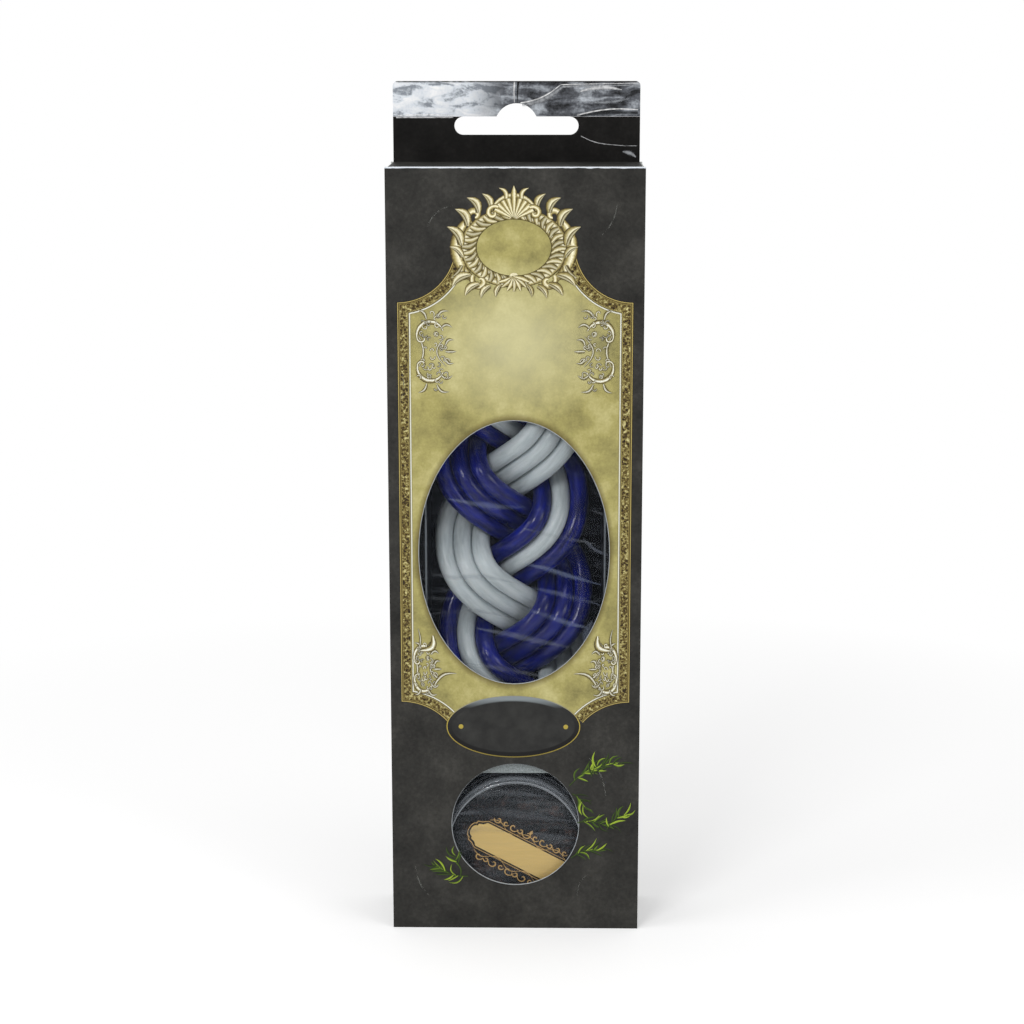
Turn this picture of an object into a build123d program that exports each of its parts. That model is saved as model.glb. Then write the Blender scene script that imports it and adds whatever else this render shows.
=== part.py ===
# A boxed havdalah candle: a plaited wax candle and a tub of cloves in a folding carton with a hang tab.
# Millimetres. +Z is up, the windows face -Y, and the origin is at the middle of the carton's base.
from build123d import *
from math import cos, pi, radians, sin, sqrt, tan
import os

os.makedirs("parts", exist_ok=True)

# Driving sizes of the carton
carton_depth = 24.0
board = 0.45
fit_gap = 0.15
crease_gap = 0.06
rest_gap = 0.3

# Hang tab above the carton
tab_height = 20.5
tab_side_inset = 0.7
tab_corner = 1.2
slot_width = 32.0
slot_height = 4.6
slot_above_lid = 6.9
arch_radius = 4.9
arch_height = 3.4
arch_corner = 0.3
arch_corner_rise = 0.5

# Closures
tuck_length = 8.0
tuck_gap = 0.5
tuck_corner = 6.0
dust_flap_length = 24.0
dust_flap_taper = 3.0
lid_side_gap = 0.3
glue_flap_width = 14.0
glue_flap_bevel = 6.0
glue_flap_headroom = 12.4

# Windows
oval_width = 49.2
oval_height = 69.6
oval_centre_x = -0.3
oval_centre_z = 102.4
round_radius = 16.8
round_centre_z = 29.0
film = 0.15
film_margin = 4.0

# Inner tray
tray_side_space = 9.25
tray_headroom = 12.4
tray_foot_height = 2.1
tub_headroom = 1.55
lip_height = 8.5

# Plaited candle
taper_diameter = 4.55
taper_pitch = 4.78
plait_pitch = 73.1
plait_swing = 13.15
plait_depth = 5.7
plait_roll = 1.4
swing_third_share = 0.03
white_edge_rise = 59.85
plait_bottom_rise = 12.45
plait_top_rise = 108.55
foot_length = 11.1
upright_foot = 1.6
foot_depth_share = 0.85
gather_length = 23.9
gather_depth_share = 0.43
stack_pitch = 5.8
path_step = 4.6
path_samples = 600
slope_step = 0.04
least_turn_angle = 0.4
bend_run_share = 0.45
candle_clearance = 0.3
candle_length = 140.45
candle_side_gap = 2.595
candle_headroom = 17.0
candle_middle_y = -0.9
candle_lean = 1.6
lean_rise = 36.45
lean_height = 44.0
tip_length = 3.2
tip_radius = 1.1
tip_step = 0.1
tip_trim = 0.4
wick_diameter = 1.0
wick_length = 6.0

# Spice tub
tub_lid_radius = 19.2
tub_lid_depth = 6.0
tub_lid_rim = 1.3
tub_lid_recess = 0.6
tub_wall = 0.9
tub_running_gap = 0.2
tub_depth = 19.0
tub_edge = 0.5
cup_edge = 1.0
label_width = 7.2
label_length = 30.5
label_thickness = 0.14
label_angle = -28.0
label_drop = 1.2
label_notch = 1.1

# Cloves
clove_length = 12.4
clove_head_radius = 2.1
clove_collar_radius = 1.5
clove_stem_radius = 1.05
clove_tip_radius = 0.52
clove_neck_rise = 1.05
clove_collar_drop = 1.5
clove_gap = 0.35
clove_fill_height = 9.5

# Places worked out from the sizes above
front_y = -carton_depth / 2
back_y = carton_depth / 2
front_inside_y = front_y + board
back_inside_y = back_y - board
film_inside_y = front_inside_y + film
flap_inside_y = back_inside_y - board
tray_back_y = flap_inside_y - board
tray_foot_top = tray_foot_height + board
tub_centre_z = tray_foot_top + rest_gap + tub_lid_radius
shelf_height = tub_centre_z + tub_lid_radius + tub_headroom
shelf_top = shelf_height + board
candle_bottom = shelf_top + candle_clearance
candle_top = candle_bottom + candle_length
plait_bottom = candle_bottom + plait_bottom_rise
plait_top = candle_bottom + plait_top_rise
white_edge_height = candle_bottom + white_edge_rise
lean_bottom = candle_bottom + lean_rise
candle_half_width = plait_swing + taper_pitch + taper_diameter / 2
tray_half_width = candle_half_width + candle_side_gap
side_inside_x = tray_half_width + tray_side_space
carton_width = 2 * (side_inside_x + board)
carton_height = candle_top + candle_headroom
lid_under_z = carton_height - board
dust_top_z = lid_under_z - fit_gap
dust_floor_z = board + fit_gap
floor_z = dust_floor_z + board
glue_flap_top_z = dust_top_z - glue_flap_headroom
ply_front_y = back_inside_y - board
tuck_front_y = front_inside_y + tuck_gap
tuck_back_y = tuck_front_y + board
bend_z = carton_height + slot_above_lid + slot_height
tab_top_z = carton_height + tab_height
tab_half_width = carton_width / 2 - tab_side_inset
slot_z = carton_height + slot_above_lid
tray_top = dust_top_z - tray_headroom
tray_front_y = tuck_back_y + fit_gap
tip_z = candle_top - tip_length
route_top = tip_z + tip_trim
tip_base_radius = taper_diameter / 2 - tip_step
tub_front_y = tuck_back_y + rest_gap
overrun = 2.0


def plate(low, high):
    """A flat piece of board between two opposite corners."""
    size = [high[i] - low[i] for i in range(3)]
    middle = [(high[i] + low[i]) / 2 for i in range(3)]
    return Location(tuple(middle)), size


def board_plate(low, high):
    """Adds a flat piece of board to the sub-part being made."""
    place, size = plate(low, high)
    with Locations(place):
        Box(*size)


def keep(part, name):
    """Names a finished piece and writes it."""
    part.label = name
    export_step(part, f"parts/{name}.step")


def plane_xz(y):
    """A plane that faces the viewer, with x to the right and z up, at a depth y."""
    return Plane(origin=(0, y, 0), x_dir=(1, 0, 0), z_dir=(0, -1, 0))


# Front panel with both windows
with BuildPart() as front_panel:
    with BuildSketch(plane_xz(front_inside_y)):
        with Locations((0, carton_height / 2)):
            Rectangle(carton_width, carton_height)
        with Locations((oval_centre_x, oval_centre_z)):
            Ellipse(oval_width / 2, oval_height / 2, mode=Mode.SUBTRACT)
        with Locations((0, round_centre_z)):
            Circle(round_radius, mode=Mode.SUBTRACT)
    extrude(amount=board)
keep(front_panel.part, "front_panel")

# Back panel, which stands on the floor behind the bottom lid
with BuildPart() as back_panel:
    board_plate(
        (-carton_width / 2, back_inside_y, 0),
        (carton_width / 2, back_y, carton_height),
    )
keep(back_panel.part, "back_panel")

# Side panels, from the bottom dust flaps' crease to the top dust flaps' crease
for side, name in ((-1, "left_side_panel"), (1, "right_side_panel")):
    with BuildPart() as side_panel:
        board_plate(
            (min(side * side_inside_x, side * carton_width / 2), front_inside_y, dust_floor_z),
            (max(side * side_inside_x, side * carton_width / 2), back_inside_y, dust_top_z),
        )
    keep(side_panel.part, name)

# Glue flap, folded from the right side panel and stuck inside the back panel
with BuildPart() as glue_flap:
    with BuildSketch(plane_xz(back_inside_y)):
        with BuildLine():
            Polyline(
                (side_inside_x, tray_foot_top),
                (side_inside_x - glue_flap_width, tray_foot_top + glue_flap_bevel),
                (side_inside_x - glue_flap_width, glue_flap_top_z - glue_flap_bevel),
                (side_inside_x, glue_flap_top_z),
                close=True,
            )
        make_face()
    extrude(amount=board)
keep(glue_flap.part, "glue_flap")


def tab_outline(bent):
    """The hang tab's outline below or above the bend, with its share of the hang slot."""
    if bent:
        with Locations((0, (bend_z + crease_gap + tab_top_z) / 2)):
            Rectangle(2 * tab_half_width, tab_top_z - bend_z - crease_gap)
        with BuildLine(mode=Mode.PRIVATE) as arch:
            Polyline(
                (-arch_radius - arch_corner, bend_z - overrun),
                (-arch_radius - arch_corner, bend_z),
                (-arch_radius, bend_z + arch_corner_rise),
            )
            ThreePointArc(
                (-arch_radius, bend_z + arch_corner_rise),
                (0, bend_z + arch_height),
                (arch_radius, bend_z + arch_corner_rise),
            )
            Polyline(
                (arch_radius, bend_z + arch_corner_rise),
                (arch_radius + arch_corner, bend_z),
                (arch_radius + arch_corner, bend_z - overrun),
                (-arch_radius - arch_corner, bend_z - overrun),
            )
        make_face(arch.edges(), mode=Mode.SUBTRACT)
        return
    with Locations((0, (carton_height + bend_z) / 2)):
        Rectangle(2 * tab_half_width, bend_z - carton_height)
    with Locations((0, slot_z + slot_height / 2)):
        SlotOverall(slot_width, slot_height, mode=Mode.SUBTRACT)
    with Locations((0, bend_z)):
        Rectangle(2 * (arch_radius + arch_corner), slot_height, mode=Mode.SUBTRACT)


# Hang tab: two plies, bent back along the top of the hang slot
for name, ply_back_y, bent in (
    ("tab_rear_ply", back_y, False),
    ("tab_front_ply", back_inside_y, False),
    ("tab_bent_rear_ply", back_y, True),
    ("tab_bent_front_ply", back_inside_y, True),
):
    with BuildPart() as ply:
        with BuildSketch(plane_xz(ply_back_y)):
            tab_outline(bent)
        extrude(amount=board)
        if bent:
            upper_corners = ply.edges().filter_by(Axis.Y).group_by(Axis.Z)[-1]
            fillet(upper_corners, tab_corner)
    keep(ply.part, name)

# Top lid, folded from the foot of the tab's front ply
with BuildPart() as top_lid:
    board_plate(
        (-side_inside_x + lid_side_gap, tuck_front_y, lid_under_z),
        (side_inside_x - lid_side_gap, ply_front_y - crease_gap, carton_height),
    )
keep(top_lid.part, "top_lid")

# Bottom lid, folded from the foot of the back panel
with BuildPart() as bottom_lid:
    board_plate(
        (-side_inside_x + lid_side_gap, tuck_front_y, 0),
        (side_inside_x - lid_side_gap, back_inside_y - crease_gap, board),
    )
keep(bottom_lid.part, "bottom_lid")

# Tuck flaps, which go behind the front panel
tuck_half_width = side_inside_x - lid_side_gap
for name, crease_z, way in (
    ("top_tuck_flap", lid_under_z - crease_gap, -1),
    ("bottom_tuck_flap", board + crease_gap, 1),
):
    with BuildPart() as tuck_flap:
        with BuildSketch(plane_xz(tuck_back_y)):
            with BuildLine():
                Polyline(
                    (-tuck_half_width, crease_z + way * (tuck_length - tuck_corner)),
                    (-tuck_half_width, crease_z),
                    (tuck_half_width, crease_z),
                    (tuck_half_width, crease_z + way * (tuck_length - tuck_corner)),
                )
                Line(
                    (-tuck_half_width + tuck_corner, crease_z + way * tuck_length),
                    (tuck_half_width - tuck_corner, crease_z + way * tuck_length),
                )
                for side in (-1, 1):
                    TangentArc(
                        (side * tuck_half_width, crease_z + way * (tuck_length - tuck_corner)),
                        (side * (tuck_half_width - tuck_corner), crease_z + way * tuck_length),
                        tangent=(0, way),
                    )
            make_face()
        extrude(amount=board)
    keep(tuck_flap.part, name)

# Dust flaps, folded in from the side panels under and over the lids
dust_front_y = tuck_back_y + fit_gap + board
dust_back_y = flap_inside_y - fit_gap
for name, side, low_z in (
    ("top_left_dust_flap", -1, dust_top_z - board),
    ("top_right_dust_flap", 1, dust_top_z - board),
    ("bottom_left_dust_flap", -1, dust_floor_z),
    ("bottom_right_dust_flap", 1, dust_floor_z),
):
    root_x = side * (side_inside_x - crease_gap)
    tip_x = root_x - side * dust_flap_length
    with BuildPart() as dust_flap:
        with BuildSketch(Plane.XY.offset(low_z)):
            with BuildLine():
                Polyline(
                    (root_x, dust_front_y),
                    (tip_x, dust_front_y + dust_flap_taper),
                    (tip_x, dust_back_y - dust_flap_taper),
                    (root_x, dust_back_y),
                    close=True,
                )
            make_face()
        extrude(amount=board)
    keep(dust_flap.part, name)

# Clear film stuck behind both windows
film_half_width = oval_width / 2 + film_margin
film_low_z = round_centre_z - round_radius - film_margin
film_high_z = oval_centre_z + oval_height / 2 + film_margin
with BuildPart() as window_film:
    board_plate(
        (-film_half_width, front_inside_y, film_low_z),
        (film_half_width, film_inside_y, film_high_z),
    )
keep(window_film.part, "window_film")

# Inner tray: a back, two walls, and two flanges behind the front panel
with BuildPart() as tray_back:
    board_plate(
        (-tray_half_width, tray_back_y, tray_foot_height),
        (tray_half_width, flap_inside_y, tray_top),
    )
keep(tray_back.part, "tray_back")

flange_out_x = side_inside_x - fit_gap
for side, word in ((-1, "left"), (1, "right")):
    wall_in_x = side * tray_half_width
    wall_out_x = side * (tray_half_width + board)
    with BuildPart() as tray_wall:
        board_plate(
            (min(wall_in_x, wall_out_x), tray_front_y, floor_z + fit_gap),
            (max(wall_in_x, wall_out_x), flap_inside_y, tray_top),
        )
    keep(tray_wall.part, f"tray_{word}_wall")
    with BuildPart() as tray_flange:
        board_plate(
            (min(wall_out_x, side * flange_out_x), tray_front_y, floor_z + fit_gap),
            (max(wall_out_x, side * flange_out_x), tray_front_y + board, tray_top),
        )
    keep(tray_flange.part, f"tray_{word}_flange")

# Tray foot under the tub, and the shelf that the candle stands on with its pale front lip
shelf_half_width = tray_half_width - fit_gap
with BuildPart() as tray_foot:
    board_plate(
        (-shelf_half_width, tray_front_y, tray_foot_height),
        (shelf_half_width, tray_back_y, tray_foot_top),
    )
keep(tray_foot.part, "tray_foot")

with BuildPart() as candle_shelf:
    board_plate(
        (-shelf_half_width, tray_front_y + board, shelf_height),
        (shelf_half_width, tray_back_y, shelf_top),
    )
keep(candle_shelf.part, "candle_shelf")

with BuildPart() as shelf_lip:
    board_plate(
        (-shelf_half_width, tray_front_y, shelf_height),
        (shelf_half_width, tray_front_y + board, shelf_height + lip_height),
    )
keep(shelf_lip.part, "shelf_lip")


def eased(share):
    """A smooth step from 0 to 1."""
    bounded = min(max(share, 0), 1)
    return bounded * bounded * (3 - 2 * bounded)


def past_plait(height):
    """How far a height lies beyond the plaited stretch, and the end that it is nearer to."""
    if height < plait_bottom:
        return plait_bottom - height, plait_bottom, -1, foot_length
    return max(height - plait_top, 0), min(height, plait_top), 1, gather_length


def plait_phase(ribbon, height):
    """The ribbon's angle in the plait, which slows to a stop at both ends."""
    beyond, limit, way, length = past_plait(height)
    slowed = min(beyond, length)
    slowed = slowed - slowed * slowed / (2 * length)
    return 2 * pi * ((white_edge_height - limit - way * slowed) / plait_pitch + ribbon / 3)


def ribbon_x(ribbon, height):
    """The ribbon's middle, from side to side, gathered towards the middle at the top."""
    phase = plait_phase(ribbon, height)
    swing = (1 + swing_third_share) * cos(phase) - swing_third_share * cos(3 * phase)
    return -plait_swing * swing * (1 - eased((height - plait_top) / gather_length))


def taper_point(ribbon, place, height):
    """A point on one taper's middle line: place is -1, 0 or 1 across its ribbon."""
    rise = ribbon_x(ribbon, height + slope_step) - ribbon_x(ribbon, height - slope_step)
    slope = rise / (2 * slope_step)
    phase = plait_phase(ribbon, height)
    woven = -plait_depth * sin(2 * phase) - plait_roll * place * sin(phase)
    stacked = stack_pitch * (0, -1, 1)[ribbon]
    beyond, _, way, length = past_plait(height)
    depth_length = length * (foot_depth_share if way < 0 else gather_depth_share)
    share = eased(1 - beyond / depth_length)
    across = place * taper_pitch / sqrt(1 + slope * slope)
    level = height - across * slope
    lean = candle_lean * eased((level - lean_bottom) / lean_height)
    return Vector(
        ribbon_x(ribbon, height) + across - lean,
        candle_middle_y + share * woven + (1 - share) * stacked,
        level,
    )


def taper_route(ribbon, place):
    """The taper's corner points, upright at both ends."""
    low = taper_point(ribbon, place, candle_bottom)
    high = taper_point(ribbon, place, route_top)
    spaced = [
        Vector(low.X, low.Y, candle_bottom),
        Vector(low.X, low.Y, candle_bottom + upright_foot),
    ]
    for i in range(path_samples):
        height = candle_bottom + (route_top - candle_bottom) * i / path_samples
        point = taper_point(ribbon, place, height)
        if (point - spaced[-1]).length > path_step and route_top - point.Z > path_step:
            spaced.append(point)
    spaced.append(Vector(high.X, high.Y, route_top))
    route = spaced[:1]
    for corner, after in zip(spaced[1:], spaced[2:]):
        if (corner - route[-1]).get_angle(after - corner) > least_turn_angle:
            route.append(corner)
    return route + spaced[-1:]


def bend_radii(points):
    """The largest arc that the two runs at each corner allow."""
    radii = []
    for before, corner, after in zip(points, points[1:], points[2:]):
        turn = radians((corner - before).get_angle(after - corner))
        shorter = min((corner - before).length, (after - corner).length)
        radii.append(bend_run_share * shorter / tan(turn / 2))
    return radii


# Nine wax tapers in three flat ribbons, plaited, and their wicks
wick_feet = []
tip_volume = Solid.make_cone(tip_base_radius, tip_radius, tip_length).volume
ribbon_names = ("white", "blue", "mixed")
place_names = {-1: "left", 0: "middle", 1: "right"}
for ribbon, ribbon_name in enumerate(ribbon_names):
    for place, place_name in place_names.items():
        route = taper_route(ribbon, place)
        radii = bend_radii(route)
        foot = route[-1]
        with BuildPart() as taper:
            with BuildLine():
                path = FilletPolyline(*route, radius=radii)
            with BuildSketch(Plane(origin=route[0], z_dir=(0, 0, 1))):
                Circle(taper_diameter / 2)
            sweep(path=path)
            split(bisect_by=Plane.XY.offset(tip_z), keep=Keep.BOTTOM)
            with Locations((foot.X, foot.Y, tip_z + tip_length / 2)):
                Cone(tip_base_radius, tip_radius, tip_length)
        name = f"{ribbon_name}_taper_{place_name}"
        section = pi * taper_diameter * taper_diameter / 4
        tube_length = path.length - tip_trim
        tube_error = taper.part.volume / (section * tube_length + tip_volume) - 1
        print(name, "least bend", round(min(radii), 2), "length", round(tube_length, 1), tube_error)
        keep(taper.part, name)
        wick_feet.append((foot.X, foot.Y, candle_top))

with BuildPart() as wicks:
    for foot in wick_feet:
        with Locations((foot[0], foot[1], foot[2] + wick_length / 2)):
            Cylinder(wick_diameter / 2, wick_length)
keep(wicks.part, "wicks")


# Spice tub, lying with its lid towards the round window
tub_seat_y = tub_front_y + tub_lid_recess + tub_wall
tub_back_y = tub_front_y + tub_depth
cup_radius = tub_lid_radius - tub_wall - tub_running_gap

with BuildPart() as tub_lid:
    with BuildSketch(plane_xz(tub_front_y + tub_lid_depth)):
        with Locations((0, tub_centre_z)):
            Circle(tub_lid_radius)
    extrude(amount=tub_lid_depth)
    front_edge = tub_lid.edges().filter_by(GeomType.CIRCLE).group_by(Axis.Y)[0]
    fillet(front_edge, tub_edge)
    with BuildSketch(plane_xz(tub_front_y + tub_lid_recess)):
        with Locations((0, tub_centre_z)):
            Circle(tub_lid_radius - tub_lid_rim)
    extrude(amount=tub_lid_recess + overrun, mode=Mode.SUBTRACT)
    with BuildSketch(plane_xz(tub_front_y + tub_lid_depth + overrun)):
        with Locations((0, tub_centre_z)):
            Circle(tub_lid_radius - tub_wall)
    extrude(amount=tub_lid_depth + overrun - tub_lid_recess - tub_wall, mode=Mode.SUBTRACT)
keep(tub_lid.part, "tub_lid")

with BuildPart() as tub_base:
    with BuildSketch(plane_xz(tub_back_y)):
        with Locations((0, tub_centre_z)):
            Circle(cup_radius)
    extrude(amount=tub_back_y - tub_seat_y - tub_running_gap)
    back_edge = tub_base.edges().filter_by(GeomType.CIRCLE).group_by(Axis.Y)[-1]
    fillet(back_edge, cup_edge)
    with BuildSketch(plane_xz(tub_front_y + tub_lid_depth + tub_running_gap + tub_wall)):
        with Locations((0, tub_centre_z)):
            Circle(tub_lid_radius)
    extrude(amount=tub_wall)
    with BuildSketch(plane_xz(tub_back_y - tub_wall)):
        with Locations((0, tub_centre_z)):
            Circle(cup_radius - tub_wall)
    extrude(amount=tub_depth, mode=Mode.SUBTRACT)
keep(tub_base.part, "tub_base")

# Gold band stuck in the lid's recess, with a bracket-shaped left end and its right end cut to the lid
label_round = tub_lid_radius - tub_lid_rim - fit_gap
with BuildPart() as tub_label:
    with BuildSketch(plane_xz(tub_front_y + tub_lid_recess)):
        with Locations((0, tub_centre_z)):
            Circle(label_round)
        with Locations(Location((0, tub_centre_z, 0), (0, 0, label_angle))):
            with Locations((label_round - label_length / 2, -label_drop)):
                Rectangle(label_length, label_width, mode=Mode.INTERSECT)
            with Locations((label_round - label_length, label_width / 2 - label_drop)):
                Circle(label_notch, mode=Mode.SUBTRACT)
            with Locations((label_round - label_length, -label_width / 2 - label_drop)):
                Circle(label_notch, mode=Mode.SUBTRACT)
    extrude(amount=label_thickness)
keep(tub_label.part, "tub_label")


# One clove, standing with its bud up: bud, collar and tapering stem
head_end = 2 * clove_head_radius
stem_end = head_end - clove_length
with BuildPart(mode=Mode.PRIVATE) as clove:
    with BuildSketch(Plane.XY):
        with BuildLine():
            ThreePointArc(
                (0, head_end),
                (clove_head_radius, clove_head_radius),
                (clove_stem_radius, clove_neck_rise),
            )
            Polyline(
                (clove_stem_radius, clove_neck_rise),
                (clove_collar_radius, 0),
                (clove_stem_radius, -clove_collar_drop),
                (clove_tip_radius, stem_end),
                (0, stem_end),
                (0, head_end),
            )
        make_face()
    revolve(axis=Axis.Y)


def clove_places():
    """Rows of cloves in layers across the tub, alternately lying along x and along z."""
    inner_radius = cup_radius - tub_wall - clove_gap
    row_pitch = 2 * clove_head_radius + clove_gap
    along_pitch = clove_length + clove_gap
    first_y = tub_seat_y + clove_gap + clove_head_radius
    deepest_y = tub_back_y - tub_wall - clove_gap - clove_head_radius
    layers = int((deepest_y - first_y) / row_pitch) + 1
    rows = int(inner_radius / row_pitch)
    places = []
    for layer in range(layers):
        upright = layer % 2 == 1
        for row in range(-rows, rows + 1):
            across = row * row_pitch
            reach = inner_radius ** 2 - (abs(across) + clove_head_radius) ** 2
            count = int(2 * sqrt(max(reach, 0)) / along_pitch)
            for i in range(count):
                along = (i - (count - 1) / 2) * along_pitch
                x, z = (across, along) if upright else (along, across)
                if z < clove_fill_height:
                    turned = 180 * ((row + i) % 2) + (0 if upright else 90)
                    places.append((x, first_y + layer * row_pitch, tub_centre_z + z, turned))
    return places


with BuildPart() as cloves:
    for x, y, z, turned in clove_places():
        clove_frame = Location((x, y, z), (0, turned, 0)) * Location((0, 0, 0), (90, 0, 0))
        add(clove.part.moved(clove_frame * Location((0, clove_length / 2 - head_end, 0))))
keep(cloves.part, "cloves")
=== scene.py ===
"""The looks of a boxed plaited candle with a tub of cloves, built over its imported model."""

import random
from functools import partial
from math import asin, atan2, cos, degrees, hypot, pi, radians, sin, sqrt

import bmesh
import bpy
from bpy.props import FloatProperty, FloatVectorProperty, IntProperty, PointerProperty
from mathutils import Euler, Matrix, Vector
from mathutils.geometry import tessellate_polygon


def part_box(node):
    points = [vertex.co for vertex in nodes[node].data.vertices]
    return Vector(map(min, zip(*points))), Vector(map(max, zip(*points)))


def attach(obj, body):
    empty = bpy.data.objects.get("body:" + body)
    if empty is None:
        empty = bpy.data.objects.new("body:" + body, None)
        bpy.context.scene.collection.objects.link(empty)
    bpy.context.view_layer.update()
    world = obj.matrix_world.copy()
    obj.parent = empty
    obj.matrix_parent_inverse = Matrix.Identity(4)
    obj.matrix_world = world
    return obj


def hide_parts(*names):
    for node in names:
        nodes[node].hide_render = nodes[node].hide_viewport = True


bl_info = {
    "name": "Boxed plaited candle",
    "version": (1, 0, 0),
    "blender": (4, 5, 0),
    "location": "View3D > Sidebar > Candle box",
    "description": "Prints the carton, dips the candle and fills the tub of a boxed plaited candle",
    "category": "Object",
}

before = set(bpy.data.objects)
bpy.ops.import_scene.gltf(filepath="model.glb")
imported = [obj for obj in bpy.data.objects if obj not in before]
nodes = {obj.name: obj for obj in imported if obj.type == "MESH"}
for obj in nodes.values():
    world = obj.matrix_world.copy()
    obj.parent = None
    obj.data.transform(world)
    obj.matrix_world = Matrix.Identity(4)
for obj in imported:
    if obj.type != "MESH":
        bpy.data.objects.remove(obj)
MM = 0.001


def hex_colour(text):
    """An sRGB hex colour as a linear one."""
    parts = [int(text[i:i + 2], 16) / 255 for i in (1, 3, 5)]
    return [c / 12.92 if c <= 0.04045 else ((c + 0.055) / 1.055) ** 2.4 for c in parts] + [1.0]


def shaded(colour, share):
    """A linear colour made darker or paler."""
    return [min(c * share, 1.0) for c in colour[:3]] + [1.0]


def box_mm(node):
    """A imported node's lowest and highest corners in millimetres."""
    low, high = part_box(node)
    return low / MM, high / MM


carton_low, carton_high = box_mm("front_panel")
cover_low, cover_high = box_mm("tub_lid")
cup_low, cup_high = box_mm("tub_base")
FACE_Y = carton_low.y
TUB_CENTRE = ((cover_low.x + cover_high.x) / 2, (cover_low.z + cover_high.z) / 2)
TUB_RADIUS = (cover_high.x - cover_low.x) / 2

# The front's drawing, as (x, z) in millimetres
OVAL_CENTRE, OVAL_HALVES = (-0.3, 102.4), (24.6, 34.8)
ROUND_CENTRE, ROUND_HALVES = (0.0, 29.0), (16.8, 16.8)
BETWEEN_WINDOWS = 50.0
CREST_CENTRE = (-0.3, 181.0)
PLAQUE_CENTRE, PLAQUE_HALVES = (-0.5, 56.0), (17.5, 8.4)
GLOW_CENTRE, GLOW_HALVES = (0.0, 157.0), (24.0, 20.0)
PANEL_SIDE, PANEL_SHOULDER, PANEL_FOOT = 29.8, 167.3, 62.6
TOP_BITE, FOOT_BITE = 14.8, 16.0

# How far the print lies above the board, and how much higher each strip lies than the one before
PANEL_LIFT, LAYER_STEP, LAYER_RISE = 0.012, 0.0008, 0.0006
# How deep inside a board's outer face its print is taken to end
SKIN = 0.02
# Offset ink under the carton's gloss coat
INK = {"Roughness": 0.42, "Specular IOR Level": 0.3}


def tint(name, description, colour):
    """A colour that the user can change."""
    return FloatVectorProperty(
        name=name, description=description, subtype="COLOR", size=4, default=hex_colour(colour))


class CartonLooks(bpy.types.PropertyGroup):
    """Colours and sizes of the carton's print."""

    slate: tint("Slate", "Ground colour of the print", "#2f2e2b")
    gold: tint("Old gold", "Middle colour of the gold panel", "#aea565")
    board: tint("Board", "Uncoated inside and cut edges of the board", "#c6c9c6")
    band: FloatProperty(
        name="Border", description="Width of the gold panel's border", unit="LENGTH",
        default=3.5 * MM, min=MM, max=6 * MM,
    )
    rim: FloatProperty(
        name="Cut rim", description="Width of bare board that shows round each window", unit="LENGTH",
        default=0.16 * MM, min=0.05 * MM, max=MM,
    )


class CandleLooks(bpy.types.PropertyGroup):
    """Colours and sizes of the plaited wax tapers."""

    white: tint("White wax", "Colour of the white tapers", "#aeb7ba")
    blue: tint("Blue wax", "Colour of the blue tapers", "#08105a")
    thickness: FloatProperty(
        name="Taper", description="Diameter of one taper", unit="LENGTH",
        default=4.9 * MM, min=3 * MM, max=6 * MM,
    )
    sides: IntProperty(name="Sides", description="Sides of a taper's tube", default=22, min=8, max=48)


class TubLooks(bpy.types.PropertyGroup):
    """Colours and numbers of the tub, its label and its cloves."""

    clear: tint("Clear plastic", "Tint of the tub", "#c9d0d6")
    paper: tint("Label", "Colour of the gold band", "#c8ac6c")
    cloves: IntProperty(
        name="Cloves", description="How many cloves the tub holds", default=70, min=1, max=200)
    seed: IntProperty(name="Seed", description="Changes how the cloves lie", default=7, min=0)


class StageLooks(bpy.types.PropertyGroup):
    """How strongly the stage is lit."""

    key: FloatProperty(
        name="Key light", description="Power of the large front light", unit="POWER",
        default=2.6, min=0, max=50,
    )
    fill: FloatProperty(
        name="Fill light", description="Power of the side lights", unit="POWER",
        default=1.1, min=0, max=50,
    )
    sky: FloatProperty(
        name="Surroundings", description="How strongly the white room lights the object",
        default=0.42, min=0, max=2,
    )


def add(tree, kind, inputs=None, out=0, stops=(), **settings):
    """Adds a node with its settings, sets or links its inputs, and returns one output, or all for None."""
    node = tree.nodes.new(kind)
    for key, value in settings.items():
        setattr(node, key, value)
    for key, value in (inputs or {}).items():
        if isinstance(value, bpy.types.NodeSocket):
            tree.links.new(value, node.inputs[key])
        else:
            is_colour = isinstance(value, str) and value.startswith("#")
            node.inputs[key].default_value = hex_colour(value) if is_colour else value
    for i, (place, colour) in enumerate(stops):
        steps = node.color_ramp.elements
        step = steps[i] if i < 2 else steps.new(place)
        step.position = place
        step.color = hex_colour(colour) if isinstance(colour, str) else colour
    return node.outputs if out is None else node.outputs[out]


def made_of(name, recipe, **values):
    """A material whose recipe lays out nodes and returns the main shader's inputs, or a shader of its own.

    The recipe is given the adding of nodes to this material's tree, and the piece's own coordinates in
    millimetres, whole and split in three."""
    material = bpy.data.materials.new(name)
    material.use_nodes = True
    material.node_tree.nodes.clear()
    new = partial(add, material.node_tree)
    own = new("ShaderNodeTexCoord", out="Object")
    place = new("ShaderNodeVectorMath", {0: own, "Scale": 1 / MM}, operation="SCALE")
    shader = recipe(new, place, new("ShaderNodeSeparateXYZ", {0: place}, None), **values)
    if isinstance(shader, dict):
        shader = new("ShaderNodeBsdfPrincipled", shader)
    new("ShaderNodeOutputMaterial", {"Surface": shader}, None)
    return material


def drawn(new):
    """What a printed sheet carries: its value across a strip and its tone."""
    return [new("ShaderNodeAttribute", out="Fac", attribute_name=key) for key in ("across", "tone")]


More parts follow.
